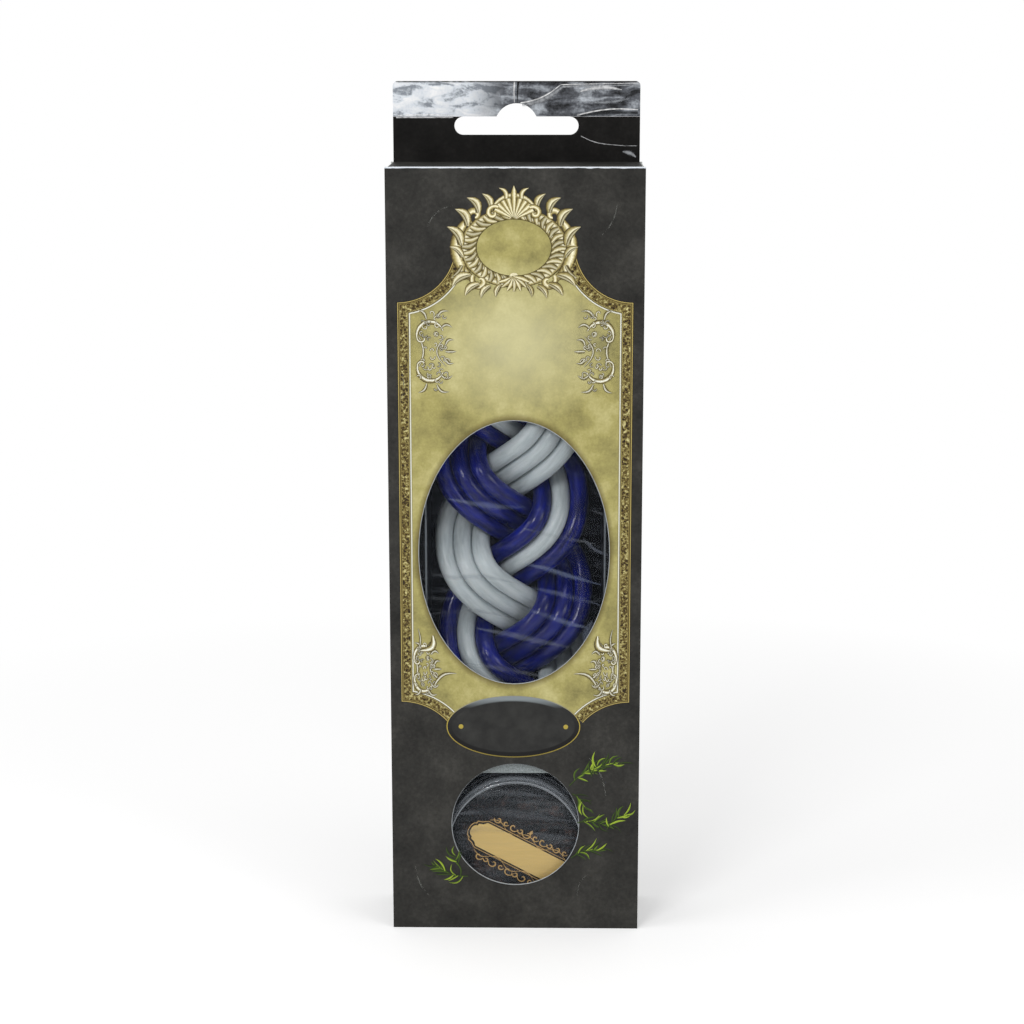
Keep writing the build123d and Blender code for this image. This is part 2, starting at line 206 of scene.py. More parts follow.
def far_from(new, place, centre, halves):
    """How far a point of the front lies from a centre, in shares of an ellipse's half sizes."""
    moved = new("ShaderNodeVectorMath", {0: place, 1: (centre[0], 0, centre[1])}, operation="SUBTRACT")
    shares = (1 / halves[0], 0, 1 / halves[1])
    flat = new("ShaderNodeVectorMath", {0: moved, 1: shares}, operation="MULTIPLY")
    return new("ShaderNodeVectorMath", {0: flat}, "Value", operation="LENGTH")


def mottled(new, place, scale, detail, stops, roughness=0.5):
    """Noise with so many marks to a millimetre, and the colours that a ramp gives it."""
    marks = {"Vector": place, "Scale": scale, "Detail": detail, "Roughness": roughness}
    noise = new("ShaderNodeTexNoise", marks)
    return noise, new("ShaderNodeValToRGB", {0: noise}, stops=stops)


def dress(names, material):
    """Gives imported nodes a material."""
    for name in names:
        slots = nodes[name].data.materials
        slots.clear()
        slots.append(material)


def placed(name, mesh):
    """Puts a mesh into the scene."""
    thing = bpy.data.objects.new(name, mesh)
    bpy.context.scene.collection.objects.link(thing)
    return thing


def mesh_mm(name, points, faces=(), edges=()):
    """A mesh from points in millimetres."""
    mesh = bpy.data.meshes.new(name)
    mesh.from_pydata([Vector(p) * MM for p in points], edges, faces)
    return mesh


def hand_over(thing, body, replaced):
    """Gives a finished piece to a body of the frame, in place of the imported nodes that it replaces."""
    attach(thing, body)
    if replaced:
        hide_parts(*replaced)


def on_oval(centre, wide, angle, high=None):
    """The point at an angle in radians on a circle or an ellipse."""
    return centre[0] + wide * cos(angle), centre[1] + (wide if high is None else high) * sin(angle)


def arc(centre, radius, start, end, steps=24):
    """Points of a circle's arc, with angles in degrees from +x towards +z."""
    return [on_oval(centre, radius, radians(start + (end - start) * i / steps)) for i in range(steps + 1)]


def oval(centre, halves, grow=0.0, steps=96):
    """Points round an ellipse whose half sizes are grown by a margin."""
    return [on_oval(centre, halves[0] + grow, 2 * pi * i / steps, halves[1] + grow) for i in range(steps)]


def curl(centre, start, sweep, radius, end_radius, steps=30):
    """Points of a spiral whose radius shrinks evenly in ratio."""
    ratio = end_radius / radius
    return [
        on_oval(centre, radius * ratio ** (i / steps), radians(start + sweep * i / steps))
        for i in range(steps + 1)
    ]


def bow(a, b, bend, steps=14):
    """Points from a to b, bowed sideways by a share of the distance."""
    run = Vector(b) - Vector(a)
    side = Vector((-run.y, run.x)) * bend
    return [tuple(Vector(a) + run * (i / steps) + side * sin(pi * i / steps)) for i in range(steps + 1)]


def swelled(count, width, start=0.25, end=0.25):
    """Widths that swell in the middle of a strip."""
    shares = [i / (count - 1) for i in range(count)]
    return [width * (start + (end - start) * t + (1 - (start + end) / 2) * sin(pi * t)) for t in shares]


def mirrored(path, middle=0.0):
    """A path turned over left to right."""
    return [(2 * middle - x, z) for x, z in path]


class Print:
    """Flat printed shapes gathered in one sheet, drawn in x and z and facing the viewer.

    A shape's lift is how far it stands before the sheet's depth, its tone is the same all over it, and its
    across value changes from side to side."""

    def __init__(self, depth=FACE_Y):
        self.depth = depth
        self.points = []
        self.faces = []
        self.values = {"across": [], "tone": []}
        self.layer = 0.0

    def put(self, x, z, across, tone, lift):
        """Adds a point with its two values."""
        self.points.append((x, self.depth - lift, z))
        self.values["across"].append(across)
        self.values["tone"].append(tone)

    def face(self, corners):
        """Adds a face, turned towards the viewer."""
        flat = [self.points[i] for i in corners]
        area = sum(a[0] * b[2] - b[0] * a[2] for a, b in zip(flat, flat[1:] + flat[:1]))
        self.faces.append(corners if area > 0 else corners[::-1])

    def strip(self, path, widths, tone=0.5, lift=0.0):
        """A strip along a path of (x, z), with a width for each point, a hair above the strip before."""
        first = len(self.points)
        self.layer += LAYER_STEP
        for i, (x, z) in enumerate(path):
            height = lift + self.layer + LAYER_RISE * i / len(path)
            before, after = path[max(i - 1, 0)], path[min(i + 1, len(path) - 1)]
            run = Vector((after[0] - before[0], after[1] - before[1])).normalized()
            half = widths[i] / 2
            for share in (-1, -0.35, 0.35, 1):
                self.put(x - run.y * half * share, z + run.x * half * share, share, tone, height)
        for i in range(len(path) - 1):
            for j in range(3):
                a = first + 4 * i + j
                self.face([a, a + 1, a + 5, a + 4])

    def scroll(self, path, width, tone, lift, start=0.25, end=0.25, middle=None):
        """A swelling scroll, and its mirror image about a middle line."""
        widths = swelled(len(path), width, start, end)
        self.strip(path, widths, tone, lift)
        if middle is not None:
            self.strip(mirrored(path, middle), widths, tone, lift)

    def area(self, loops, tone=0.5, lift=0.0, across=0.0):
        """A filled shape, whose later loops are holes."""
        first = len(self.points)
        for x, z in sum(loops, []):
            self.put(x, z, across, tone, lift)
        for corners in tessellate_polygon([[Vector((x, z, 0)) for x, z in loop] for loop in loops]):
            self.face([first + i for i in corners])

    def bridge(self, outer, inner, ends=(0.0, 1.0), tone=0.5, lift=0.0, closed=True):
        """A band between two lines with as many points, whose across value runs between the ends."""
        first = len(self.points)
        for a, b in zip(outer, inner):
            self.put(*a, ends[0], tone, lift)
            self.put(*b, ends[1], tone, lift)
        count = len(outer)
        for i in range(count if closed else count - 1):
            a, b = first + 2 * i, first + 2 * ((i + 1) % count)
            self.face([a, a + 1, b + 1, b])

    def lay(self, name, material, body="carton", replaced=()):
        """Makes the gathered shapes one piece."""
        mesh = mesh_mm(name, self.points, self.faces)
        for key, numbers in self.values.items():
            mesh.attributes.new(key, "FLOAT", "POINT").data.foreach_set("value", numbers)
        mesh.materials.append(material)
        hand_over(placed(name, mesh), body, replaced)


def coated_board(new, place, xyz, printed, ground, rough=0.42, rubbed=None, shine=0.28):
    """Folding boxboard: offset print under a gloss coat outside, bare grey-white pulp inside and at cuts.

    printed lists where the outer face lies, as (axis, sign, place in mm); rubbed is the edge that has lost
    its coat, given in the same way."""

    def against(face, operation):
        """Compares a point's place along a face's axis with the face."""
        axis, sign, limit = face
        value = new("ShaderNodeMath", {0: xyz[axis], 1: sign}, operation="MULTIPLY")
        return new("ShaderNodeMath", {0: value, 1: sign * limit}, operation=operation)

    outside = 0.0
    for face in printed:
        beyond = against(face, "GREATER_THAN")
        outside = new("ShaderNodeMath", {0: outside, 1: beyond}, operation="MAXIMUM")
    # Cloudy slate: clouds about 12 mm across, broken by 1 mm grit
    clouds = new("ShaderNodeTexNoise", {"Vector": place, "Scale": 0.085, "Detail": 7, "Roughness": 0.62})
    grit = new("ShaderNodeTexNoise", {"Vector": place, "Scale": 0.9, "Detail": 4, "Roughness": 0.7})
    mixed = new("ShaderNodeMath", {0: grit, 1: 0.5, 2: clouds}, operation="MULTIPLY_ADD")
    stops = ((0.52, shaded(ground, 0.42)), (1.0, shaded(ground, 1.9)), (0.76, shaded(ground, 1.0)))
    outer = new("ShaderNodeValToRGB", {0: mixed}, stops=stops)
    # Pulp fibres about 0.4 mm long show in the bare board
    card = bpy.context.scene.carton_looks.board
    _, pulp = mottled(new, place, 2.6, 3, ((0.3, shaded(card, 0.8)), (0.7, shaded(card, 1.0))))
    if rubbed:
        # Along a sharp crease the coat is rubbed through to pale board, unevenly over a few millimetres
        near = against(rubbed, "SUBTRACT")
        rub = new("ShaderNodeTexNoise", {"Vector": place, "Scale": 0.35, "Detail": 5})
        near = new("ShaderNodeMath", {0: rub, 1: 0.5, 2: near}, operation="MULTIPLY_ADD")
        worn = new("ShaderNodeMapRange", {0: near, 1: 0.22, 2: 0.3})
        outer = new("ShaderNodeMix", {0: worn, 6: outer, 7: "#e4eaf2"}, 2, data_type="RGBA")
    return {
        "Base Color": new("ShaderNodeMix", {0: outside, 6: pulp, 7: outer}, 2, data_type="RGBA"),
        "Roughness": new("ShaderNodeMapRange", {0: outside, 3: 0.85, 4: rough}),
        "Normal": new("ShaderNodeBump", {"Height": clouds, "Strength": 0.12, "Distance": 0.0004}),
        "Specular IOR Level": shine,
    }


def laminate_painted_glare(new, place, xyz, front):
    """Glossy film laminate over board, crazed where the tab was bent back, with painted glare whitening its
    left side.
    """
    outside = new("ShaderNodeMath", {0: xyz[1], 1: front}, operation="LESS_THAN")
    # The crazing and the painted glare share a 0.6 mm grain inside cloudy patches that run a few millimetres
    # along the crease
    long = new("ShaderNodeVectorMath", {0: place, 1: (0.16, 0.3, 0.42)}, operation="MULTIPLY")
    patch = new("ShaderNodeTexNoise", {"Vector": long, "Scale": 1.0, "Detail": 3, "Distortion": 0.8})
    grain = new("ShaderNodeTexNoise", {"Vector": place, "Scale": 1.6, "Detail": 5, "Roughness": 0.7})
    level = new("ShaderNodeMath", {0: grain, 1: 0.32, 2: patch}, operation="MULTIPLY_ADD")
    bright = ((0.5, "#8d939b"), (0.86, "#ffffff"), (0.62, "#dde3ea"))
    glare = new("ShaderNodeValToRGB", {0: level}, stops=bright)
    dark = ((0.5, "#242527"), (0.9, "#c3c9d0"), (0.66, "#5f6268"))
    dull = new("ShaderNodeValToRGB", {0: level}, stops=dark)
    # The painted glare is bright on the left and duller on the right
    left = new("ShaderNodeMath", {0: level, 1: 9.0, 2: xyz[0]}, operation="MULTIPLY_ADD")
    left = new("ShaderNodeMapRange", {0: left, 1: -6.0, 2: 2.5, 3: 1.0, 4: 0.0})
    outer = new("ShaderNodeMix", {0: left, 6: dull, 7: glare}, 2, data_type="RGBA")
    return {
        "Base Color": new("ShaderNodeMix", {0: outside, 6: "#d2d4d0", 7: outer}, 2, data_type="RGBA"),
        "Roughness": 0.25, "Specular IOR Level": 0.25,
        "Normal": new("ShaderNodeBump", {"Height": level, "Strength": 0.4, "Distance": 0.0005}),
    }


def painted_light_streaks(new, place, xyz, note, strongest, fleck):
    """A see-through layer of painted streaks of light and shade, dark to white by tone, that fade out at
    both sides.
    """
    across, tone = drawn(new)
    stops = ((0.0, "#0d0d0e"), (1.0, note), (0.5, "#7b8087"))
    shade = new("ShaderNodeValToRGB", {0: tone}, stops=stops)
    # Each streak comes and goes along its length
    broken = new("ShaderNodeTexNoise", {"Vector": place, "Scale": fleck, "Detail": 4 * fleck})
    kept = new("ShaderNodeMapRange", {0: broken, 1: 0.3, 2: 0.6, 3: 0.35 * strongest, 4: strongest})
    off = new("ShaderNodeMath", {0: across}, operation="ABSOLUTE")
    soft = new(
        "ShaderNodeMapRange", {0: off, 1: 0.1, 2: 1.0, 3: 1.0, 4: 0.0}, interpolation_type="SMOOTHSTEP")
    seen = new("ShaderNodeMath", {0: kept, 1: soft}, operation="MULTIPLY")
    return {"Base Color": shade, "Roughness": 0.5, "Alpha": seen, "Specular IOR Level": 0.2}


class CARTON_OT_board(bpy.types.Operator):
    """Prints and coats every panel, flap and ply of the carton"""

    bl_idname = "candle_box.board"
    bl_label = "Carton board"

    def execute(self, context):
        slate = context.scene.carton_looks.slate

        def fronts(node):
            """Where the front face of a node's print lies."""
            return (1, -1, box_mm(node)[0].y + SKIN)

        wide, top = carton_high.x - SKIN, carton_high.z - SKIN
        sides, back = [(0, 1, wide), (0, -1, -wide)], (1, 1, -FACE_Y - SKIN)
        lid_front = fronts("top_lid")
        crease, lid_crease = (2, 1, carton_high.z - 0.32), (1, -1, lid_front[2] + 0.3)
        upper, lower = box_mm("top_left_dust_flap")[1].z - SKIN, box_mm("bottom_left_dust_flap")[0].z + SKIN
        for name, dressed, printed, options in (
            ("front", ["front_panel"], [fronts("front_panel"), *sides], {"rubbed": crease}),
            ("back", ["back_panel"], [back, *sides], {}),
            ("sides", ["left_side_panel", "right_side_panel"], sides, {}),
            # The lid's print is made 15 per cent paler than the front's: painted light on the top face
            ("lid", ["top_lid"], [(2, 1, top), lid_front],
             {"ground": shaded(slate, 1.15), "rough": 0.4, "rubbed": lid_crease}),
            ("base", ["bottom_lid"], [(2, -1, SKIN), lid_front], {}),
            ("tucks", ["top_tuck_flap", "bottom_tuck_flap"], [fronts("top_tuck_flap")], {}),
            ("upper_flaps", ["top_left_dust_flap", "top_right_dust_flap"], [(2, 1, upper)], {}),
            ("lower_flaps", ["bottom_left_dust_flap", "bottom_right_dust_flap"], [(2, -1, lower)], {}),
            ("glue_flap", ["glue_flap"], [(1, 1, box_mm("glue_flap")[1].y - SKIN)], {}),
            ("tab_front", ["tab_front_ply"], [fronts("tab_front_ply")],
             {"ground": hex_colour("#1a1918"), "rough": 0.35, "shine": 0.12}),
            ("tab_back", ["tab_rear_ply", "tab_bent_rear_ply"], [back], {"rough": 0.35}),
        ):
            values = {"ground": slate, **options}
            dress(dressed, made_of(f"slate_print_{name}", coated_board, printed=printed, **values))
        bent_front = fronts("tab_bent_front_ply")[2]
        dress(["tab_bent_front_ply"], made_of("laminate_painted_glare", laminate_painted_glare, front=bent_front))
        return {"FINISHED"}


class CARTON_OT_tab_creases(bpy.types.Operator):
    """Draws the folds, cracks and scratches of the bent hang tab as painted highlights and shade"""

    bl_idname = "candle_box.tab_creases"
    bl_label = "Tab creases"

    def execute(self, context):
        fold_highlights = made_of("painted_fold_highlights", painted_light_streaks, note="#ffffff", strongest=0.95, fleck=0.8)
        bent_low, bent_high = box_mm("tab_bent_front_ply")
        fold, top = bent_low.z, bent_high.z
        above = Print(bent_low.y)
        ridge = bow((1.0, fold + 3.4), (11.4, top - 0.9), -0.08) + [(20.0, top - 0.7), (31.2, top - 0.5)]
        # Painted highlights along the folds and the crease ridge, and dark painted shade at low tone along
        # the slit, one fold and the top edge
        for mark in (
            (bow((-30.6, fold + 0.25), (-16.2, fold + 0.3), 0.01), 0.55, 1.0, 0.02, 0.9, 0.8),
            (bow((15.6, fold + 0.3), (31.2, fold + 1.7), 0.05), 0.5, 1.0, 0.02, 0.9, 0.8),
            (bow((16.2, fold + 0.2), (31.2, fold + 0.9), 0.03), 1.3, 0.05, 0.01, 0.9, 0.9),
            (ridge, 0.5, 1.0, 0.03, 0.9, 0.5),
            ([(x + 0.5, z - 0.5) for x, z in ridge], 1.6, 0.62, 0.02, 0.9, 0.3),
            (bow((0.2, fold + 3.3), (0.5, top), 0.02), 0.7, 0.0, 0.03, 0.3, 1.4),
            (bow((-0.5, fold + 3.5), (-0.5, top), 0.02), 0.5, 1.0, 0.03, 0.5, 0.9),
            (bow((16.4, top - 2.6), (27.0, top - 2.2), 0.08), 1.6, 0.85, 0.02, 0.3, 0.2),
            (bow((18.0, top - 5.2), (29.0, top - 4.4), -0.05), 1.1, 0.55, 0.02, 0.2, 0.4),
            (bow((-31.0, top - 0.15), (31.0, top - 0.15), 0.0, 40), 0.5, 0.0, 0.04, 1.0, 1.0),
        ):
            above.scroll(*mark)
        above.lay("tab_fold_marks", fold_highlights, "hang_tab_top")
        ply_low, ply_high = box_mm("tab_front_ply")
        below = Print(ply_low.y)
        # Painted highlights along the lower ply's top edge, along a scratch and at its right-hand corner
        scratch = bow((16.6, 207.6), (24.2, 205.4), -0.06) + [(28.0, 205.1), (31.0, 205.1)]
        for mark in (
            (bow((-31.0, ply_high.z - 0.2), (-16.3, ply_high.z - 0.2), 0.0), 0.4, 0.9, 0.02, 1.0, 0.8),
            (scratch, 0.32, 0.8, 0.02, 0.6, 0.5),
            (bow((27.4, 203.6), (30.8, 202.2), 0.1), 1.5, 0.62, 0.02, 0.3, 0.3),
        ):
            below.scroll(*mark)
        below.lay("tab_scratches", fold_highlights)
        return {"FINISHED"}


def panel_edge(inset):
    """The right-hand edge of the gold panel from its neck to the plaque, moved inwards by an inset."""
    top_turn = degrees(asin(inset / (TOP_BITE + inset)))
    foot_turn = degrees(asin(inset / (FOOT_BITE + inset)))
    upper = arc((PANEL_SIDE, PANEL_SHOULDER + TOP_BITE), TOP_BITE + inset, 180, 270 - top_turn)
    return upper + arc((PANEL_SIDE, PANEL_FOOT - FOOT_BITE), FOOT_BITE + inset, 90 + foot_turn, 139)


def antique_gold(new, place, xyz):
    """Print of tarnished gold leaf: warm cloudy leaf, browned round the oval, with a filigree border."""
    across = drawn(new)[0]
    clouds = new("ShaderNodeTexNoise", {"Vector": place, "Scale": 0.11, "Detail": 6, "Roughness": 0.6})
    grain = new("ShaderNodeTexNoise", {"Vector": place, "Scale": 1.6, "Detail": 5, "Roughness": 0.7})
    cloud = new("ShaderNodeMath", {0: grain, 1: 0.28, 2: clouds}, operation="MULTIPLY_ADD")
    gold = bpy.context.scene.carton_looks.gold
    stops = ((0.42, shaded(gold, 0.52)), (0.92, "#d3cb90"), (0.66, shaded(gold, 1.0)))
    leaf = new("ShaderNodeValToRGB", {0: cloud}, stops=stops)
    # A lighter glow over the middle of the upper half
    far = far_from(new, place, GLOW_CENTRE, GLOW_HALVES)
    glow = new("ShaderNodeMapRange", {0: far, 1: 0.2, 2: 1.1, 3: 0.62, 4: 0.0})
    leaf = new("ShaderNodeMix", {0: glow, 6: leaf, 7: "#dcd7a8"}, 2, data_type="RGBA")
    # A brown shade a millimetre or two wide that the artwork has round the oval window
    far = far_from(new, place, OVAL_CENTRE, OVAL_HALVES)
    shade = new("ShaderNodeMapRange", {0: far, 1: 1.0, 2: 1.055, 3: 0.8, 4: 0.0})
    leaf = new("ShaderNodeMix", {0: shade, 6: leaf, 7: "#55461f"}, 2, data_type="RGBA")
    # Filigree about 0.6 mm from curl to curl between thin dark and gold lines
    cells = new(
        "ShaderNodeTexVoronoi", {"Vector": place, "Scale": 1.6, "Randomness": 1.0}, feature="SMOOTH_F1")
    curls = new("ShaderNodeTexNoise", {"Vector": place, "Scale": 1.9, "Detail": 4, "Distortion": 1.4})
    busy = new("ShaderNodeMath", {0: cells, 1: 0.55, 2: curls}, operation="MULTIPLY_ADD")
    stops = ((0.55, "#22180a"), (1.0, "#d6cd92"), (0.7, "#5d4b22"), (0.83, "#8f8248"))
    filigree = new("ShaderNodeValToRGB", {0: busy}, stops=stops)
    lines = new("ShaderNodeValToRGB", {0: across}, stops=(
        (0.0, "#1f1809"), (0.985, "#6d6337"), (0.035, "#b9a660"), (0.095, "#2c2009"), (0.15, "#8f7f45"),
        (0.2, "#3a2c10"), (0.76, "#a4975a"), (0.81, "#40320f"), (0.86, "#e3e3d2"), (0.95, "#8e8455"),
    ))
    lines.node.color_ramp.interpolation = "CONSTANT"
    lower = new("ShaderNodeMath", {0: across, 1: 0.21}, operation="GREATER_THAN")
    upper = new("ShaderNodeMath", {0: across, 1: 0.755}, operation="LESS_THAN")
    band = new("ShaderNodeMath", {0: lower, 1: upper}, operation="MULTIPLY")
    border = new("ShaderNodeMix", {0: band, 6: lines, 7: filigree}, 2, data_type="RGBA")
    inner = new("ShaderNodeMath", {0: across, 1: 0.995}, operation="GREATER_THAN")
    colour = new("ShaderNodeMix", {0: inner, 6: border, 7: leaf}, 2, data_type="RGBA")
    return {"Base Color": colour, **INK}


def printed_relief(new, place, xyz, dark, middle, light):
    """Ornament painted as if it stood out: dark outlines, a gold body and a pale ridge along each scroll."""
    across, tone = drawn(new)
    grain = new("ShaderNodeTexNoise", {"Vector": place, "Scale": 2.2, "Detail": 3})
    wobble = new("ShaderNodeMath", {0: grain, 1: 0.5, 2: -0.25}, operation="MULTIPLY_ADD")
    ridge = new("ShaderNodeMath", {0: across, 1: wobble}, operation="ADD")
    body = new("ShaderNodeMapRange", {0: ridge, 1: -1.0, 2: 1.0})
    stops = ((0.03, dark), (0.97, dark), (0.17, middle), (0.4, light), (0.72, middle))
    shading = new("ShaderNodeValToRGB", {0: body}, stops=stops)
    strength = new("ShaderNodeMapRange", {0: tone, 3: 0.55, 4: 1.25})
    colour = new("ShaderNodeVectorMath", {0: shading, "Scale": strength}, operation="SCALE")
    return {"Base Color": colour, **INK}


class CARTON_OT_gold_panel(bpy.types.Operator):
    """Prints the gold panel with its border and the oval left open"""

    bl_idname = "candle_box.gold_panel"
    bl_label = "Gold panel"

    def execute(self, context):
        right, inner = panel_edge(0), panel_edge(context.scene.carton_looks.band / MM)
        sheet = Print()
        sheet.bridge(right, inner, lift=PANEL_LIFT, closed=False)
        sheet.bridge(mirrored(right), mirrored(inner), lift=PANEL_LIFT, closed=False)
        hole = oval(OVAL_CENTRE, OVAL_HALVES, 0.02)[::-1]
        sheet.area([inner + mirrored(inner)[::-1], hole], lift=PANEL_LIFT, across=1.0)
        crown = [on_oval((0.0, right[0][1]), 15.0, pi * i / 32, 6.0) for i in range(33)]
        sheet.area([crown + [(-inner[0][0], inner[0][1]), inner[0]]], lift=PANEL_LIFT, across=1.0)
        sheet.lay("gold_panel_print", made_of("antique_gold_print", antique_gold))
        return {"FINISHED"}


class CARTON_OT_crest(bpy.types.Operator):
    """Prints the crest: a plain field in a ribbed frame with C-scrolls, leaves, a shell and a palmette"""

    bl_idname = "candle_box.crest"
    bl_label = "Crest"

    def execute(self, context):
        centre, middle = CREST_CENTRE, CREST_CENTRE[0]
        field = Print()
        field.area([[
            on_oval(centre, 9.9 * (1 + 0.04 * cos(4 * a)), a, 7.6 * (1 + 0.05 * cos(6 * a)))
            for a in (2 * pi * i / 96 for i in range(96))
        ]], lift=0.04, across=1.0)
        field.lay("crest_field_print", bpy.data.materials["antique_gold_print"])
        sheet = Print()
        # A moulded frame round the field: a broad outer moulding with a thin bead inside it
        sheet.bridge(oval(centre, (13.6, 10.0)), oval(centre, (10.6, 8.0)), (-1.0, 1.0), 0.75, 0.05)
        sheet.bridge(oval(centre, (10.9, 8.3)), oval(centre, (9.3, 7.0)), (-1.0, 1.0), 0.45, 0.052)
        # Ribs that cross the moulding like folded leaves
        for i in range(34):
            angle = 2 * pi * i / 34
            a, b = on_oval(centre, 9.6, angle, 7.2), on_oval(centre, 12.9, angle + 0.16, 9.5)
            sheet.scroll(bow(a, b, 0.14, 8), 1.5, 0.3 + 0.4 * (i % 2), 0.055, 0.35, 0.7)
        # Heavy C-scrolls that hold the frame at both sides, each ending in two curls
        sheet.scroll(arc((4.6, 181.0), 9.6, -58, 50, 30), 3.0, 1.0, 0.06, 0.45, 0.45, middle)
        sheet.scroll(curl((9.4, 189.0), -60, 330, 2.3, 0.5), 1.7, 1.0, 0.064, 0.8, 0.4, middle)
        sheet.scroll(curl((8.2, 172.6), 40, -330, 2.3, 0.5), 1.6, 0.95, 0.064, 0.8, 0.4, middle)
        # Flame-like leaves outside the scrolls
        for a, b, bend, width in (
            ((13.0, 181.6), (16.4, 186.2), 0.24, 2.3), ((12.6, 178.6), (15.8, 181.2), 0.2, 1.6),
            ((11.4, 186.4), (14.4, 190.6), 0.28, 2.1), ((8.6, 189.6), (11.4, 193.4), 0.28, 1.9),
            ((5.6, 190.6), (7.6, 194.4), 0.26, 1.6), ((12.6, 176.6), (15.6, 173.4), -0.22, 2.0),
            ((10.6, 174.0), (15.2, 171.2), 0.22, 2.2), ((8.4, 171.8), (12.0, 168.9), 0.2, 1.9),
            ((5.6, 171.4), (8.0, 168.3), 0.2, 1.6), ((3.0, 171.6), (4.2, 168.6), 0.16, 1.4),
        ):
            sheet.scroll(bow(a, b, bend), width, 0.8, 0.058, 0.7, 0.04, middle)
            sheet.scroll(bow(a, b, bend * 0.4), width * 0.4, 0.2, 0.06, 0.7, 0.05, middle)
        # Crown: a shell of nine ribs between two scrolls, with three leaves on top
        for angle in (radians(28 + 15.5 * i) for i in range(9)):
            reach = 5.2 + 0.9 * sin(angle) ** 2
            foot = (middle, 188.2)
            rib = bow(on_oval(foot, 0.8, angle, 0.6), on_oval(foot, reach, angle, reach * 0.92), 0.0)
            sheet.strip(rib, [0.5 + 1.25 * i / 14 for i in range(15)], 0.95, 0.066)
        sheet.scroll(arc((middle, 188.0), 6.0, 22, 158, 30), 1.3, 0.8, 0.07, 0.5, 0.5)
        sheet.scroll(curl((4.9, 189.6), 130, -330, 1.9, 0.45), 1.3, 1.0, 0.072, 0.8, 0.4, middle)
        sheet.scroll(bow((1.6, 193.2), (3.4, 195.8), 0.24), 1.2, 0.9, 0.07, 0.8, 0.05, middle)
        sheet.scroll(bow((middle, 192.8), (middle, 196.4), 0.0), 1.5, 1.0, 0.074, 0.8, 0.05)
        # Palmette under the field
        for i in range(7):
            tip = on_oval((middle, 173.6), 4.2, radians(-160 + 140 * i / 6), 3.6)
            sheet.scroll(bow((middle, 173.8), tip, 0.06), 1.3, 0.9 - 0.2 * (i % 2), 0.068, 0.3, 0.35)
        sheet.area([oval((middle, 173.8), (1.1, 0.9), steps=20)], 1.0, 0.13)
        tones = {"dark": "#3d3014", "middle": "#a1935a", "light": "#ece6c6"}
        sheet.lay("crest_scroll_print", made_of("painted_scrollwork", printed_relief, **tones))
        return {"FINISHED"}


def cartouche(sheet, x, z, side, height, wide=1.0):
    """Draws one small side ornament: two C-scrolls, one over the other, with leaf sprays and tendrils."""
    half = height / 2

    def run(path):
        """Moves and stretches a path to the ornament's place."""
        return [(x + side * wide * px, z + pz) for px, pz in path]

    for up in (1, -1):
        sheet.scroll(run(arc((-0.6, up * half * 0.42), 3.4, 20 * up, 200 * up, 20)), 1.35, 0.95, 0.03)
    for up in (1, -1):
        path = curl((-2.7, up * half * 0.34), 170 * up, 270 * up, 1.3, 0.35, 18)
        sheet.scroll(run(path), 0.7, 0.85, 0.036, 0.7, 0.3)
    sheet.scroll(run(bow((-3.6, half * 0.4), (-3.6, -half * 0.4), 0.16)), 0.75, 0.6, 0.032)
    sheet.scroll(run(bow((3.4, half * 0.4), (3.4, -half * 0.4), -0.3)), 0.6, 0.55, 0.032)
    # Leaves, each from x and a share of the half height to another such place, with its bend
    for spray, ways in (
        (((1.0, 0.86, 4.2, 1.05, 0.25), (2.0, 0.6, 5.0, 0.62, 0.3)), (1, -1)),
        (((-1.6, 0.84, -3.8, 1.08, -0.2),), (1, -1)),
        (((3.2, 0.16, 5.4, 0.3, 0.3),), (1, -1)),
        (((3.2, 0.0, 6.0, 0.0, 0.0),), (1,)),
    ):
        for up in ways:
            for ax, az, bx, bz, bend in spray:
                leaf = bow((ax, up * half * az), (bx, up * half * bz), up * bend, 8)
                sheet.scroll(run(leaf), 0.85, 0.5, 0.028, 0.5, 0.05)
    # Small tendrils fill the ground between the scrolls
    chance = random.Random(5)
    for _ in range(44):
        px, pz = chance.uniform(-3.6, 3.6), half * chance.uniform(-1.0, 1.0)
        turn, size = chance.uniform(0, 360), chance.uniform(0.5, 1.0)
        path = curl((px, pz), turn, chance.choice((-260, 260)), size, 0.2, 12)
        sheet.scroll(run(path), 0.46, chance.uniform(0.0, 0.9), 0.024, 0.8, 0.6)


class CARTON_OT_side_ornament(bpy.types.Operator):
    """Prints the four small ornaments in the gold panel's corners"""

    bl_idname = "candle_box.side_ornament"
    bl_label = "Side ornaments"

    def execute(self, context):
        sheet = Print()
        for side in (-1, 1):
            cartouche(sheet, side * 20.8, 154.8, -side, 19.5)
            cartouche(sheet, side * 23.4, 71.6, -side, 13.0, 0.72)
            # Crescent leaves follow the oval round each lower ornament
            for ax, az, bx, bz, bend, *mark in (
                (24.6, 76.6, 21.4, 80.6, 0.34, 1.9, 1.0, 0.03),
                (25.4, 76.0, 25.2, 82.4, 0.1, 0.6, 0.4, 0.03),
                (21.0, 67.4, 15.2, 70.4, -0.2, 1.0, 0.6, 0.03, 0.6, 0.1),
            ):
                sheet.scroll(bow((side * ax, az), (side * bx, bz), side * bend), *mark)
        tones = {"dark": "#2f240e", "middle": "#8a7d48", "light": "#eff0e2"}
        sheet.lay("side_ornament_print", made_of("painted_filigree", printed_relief, **tones))
        return {"FINISHED"}


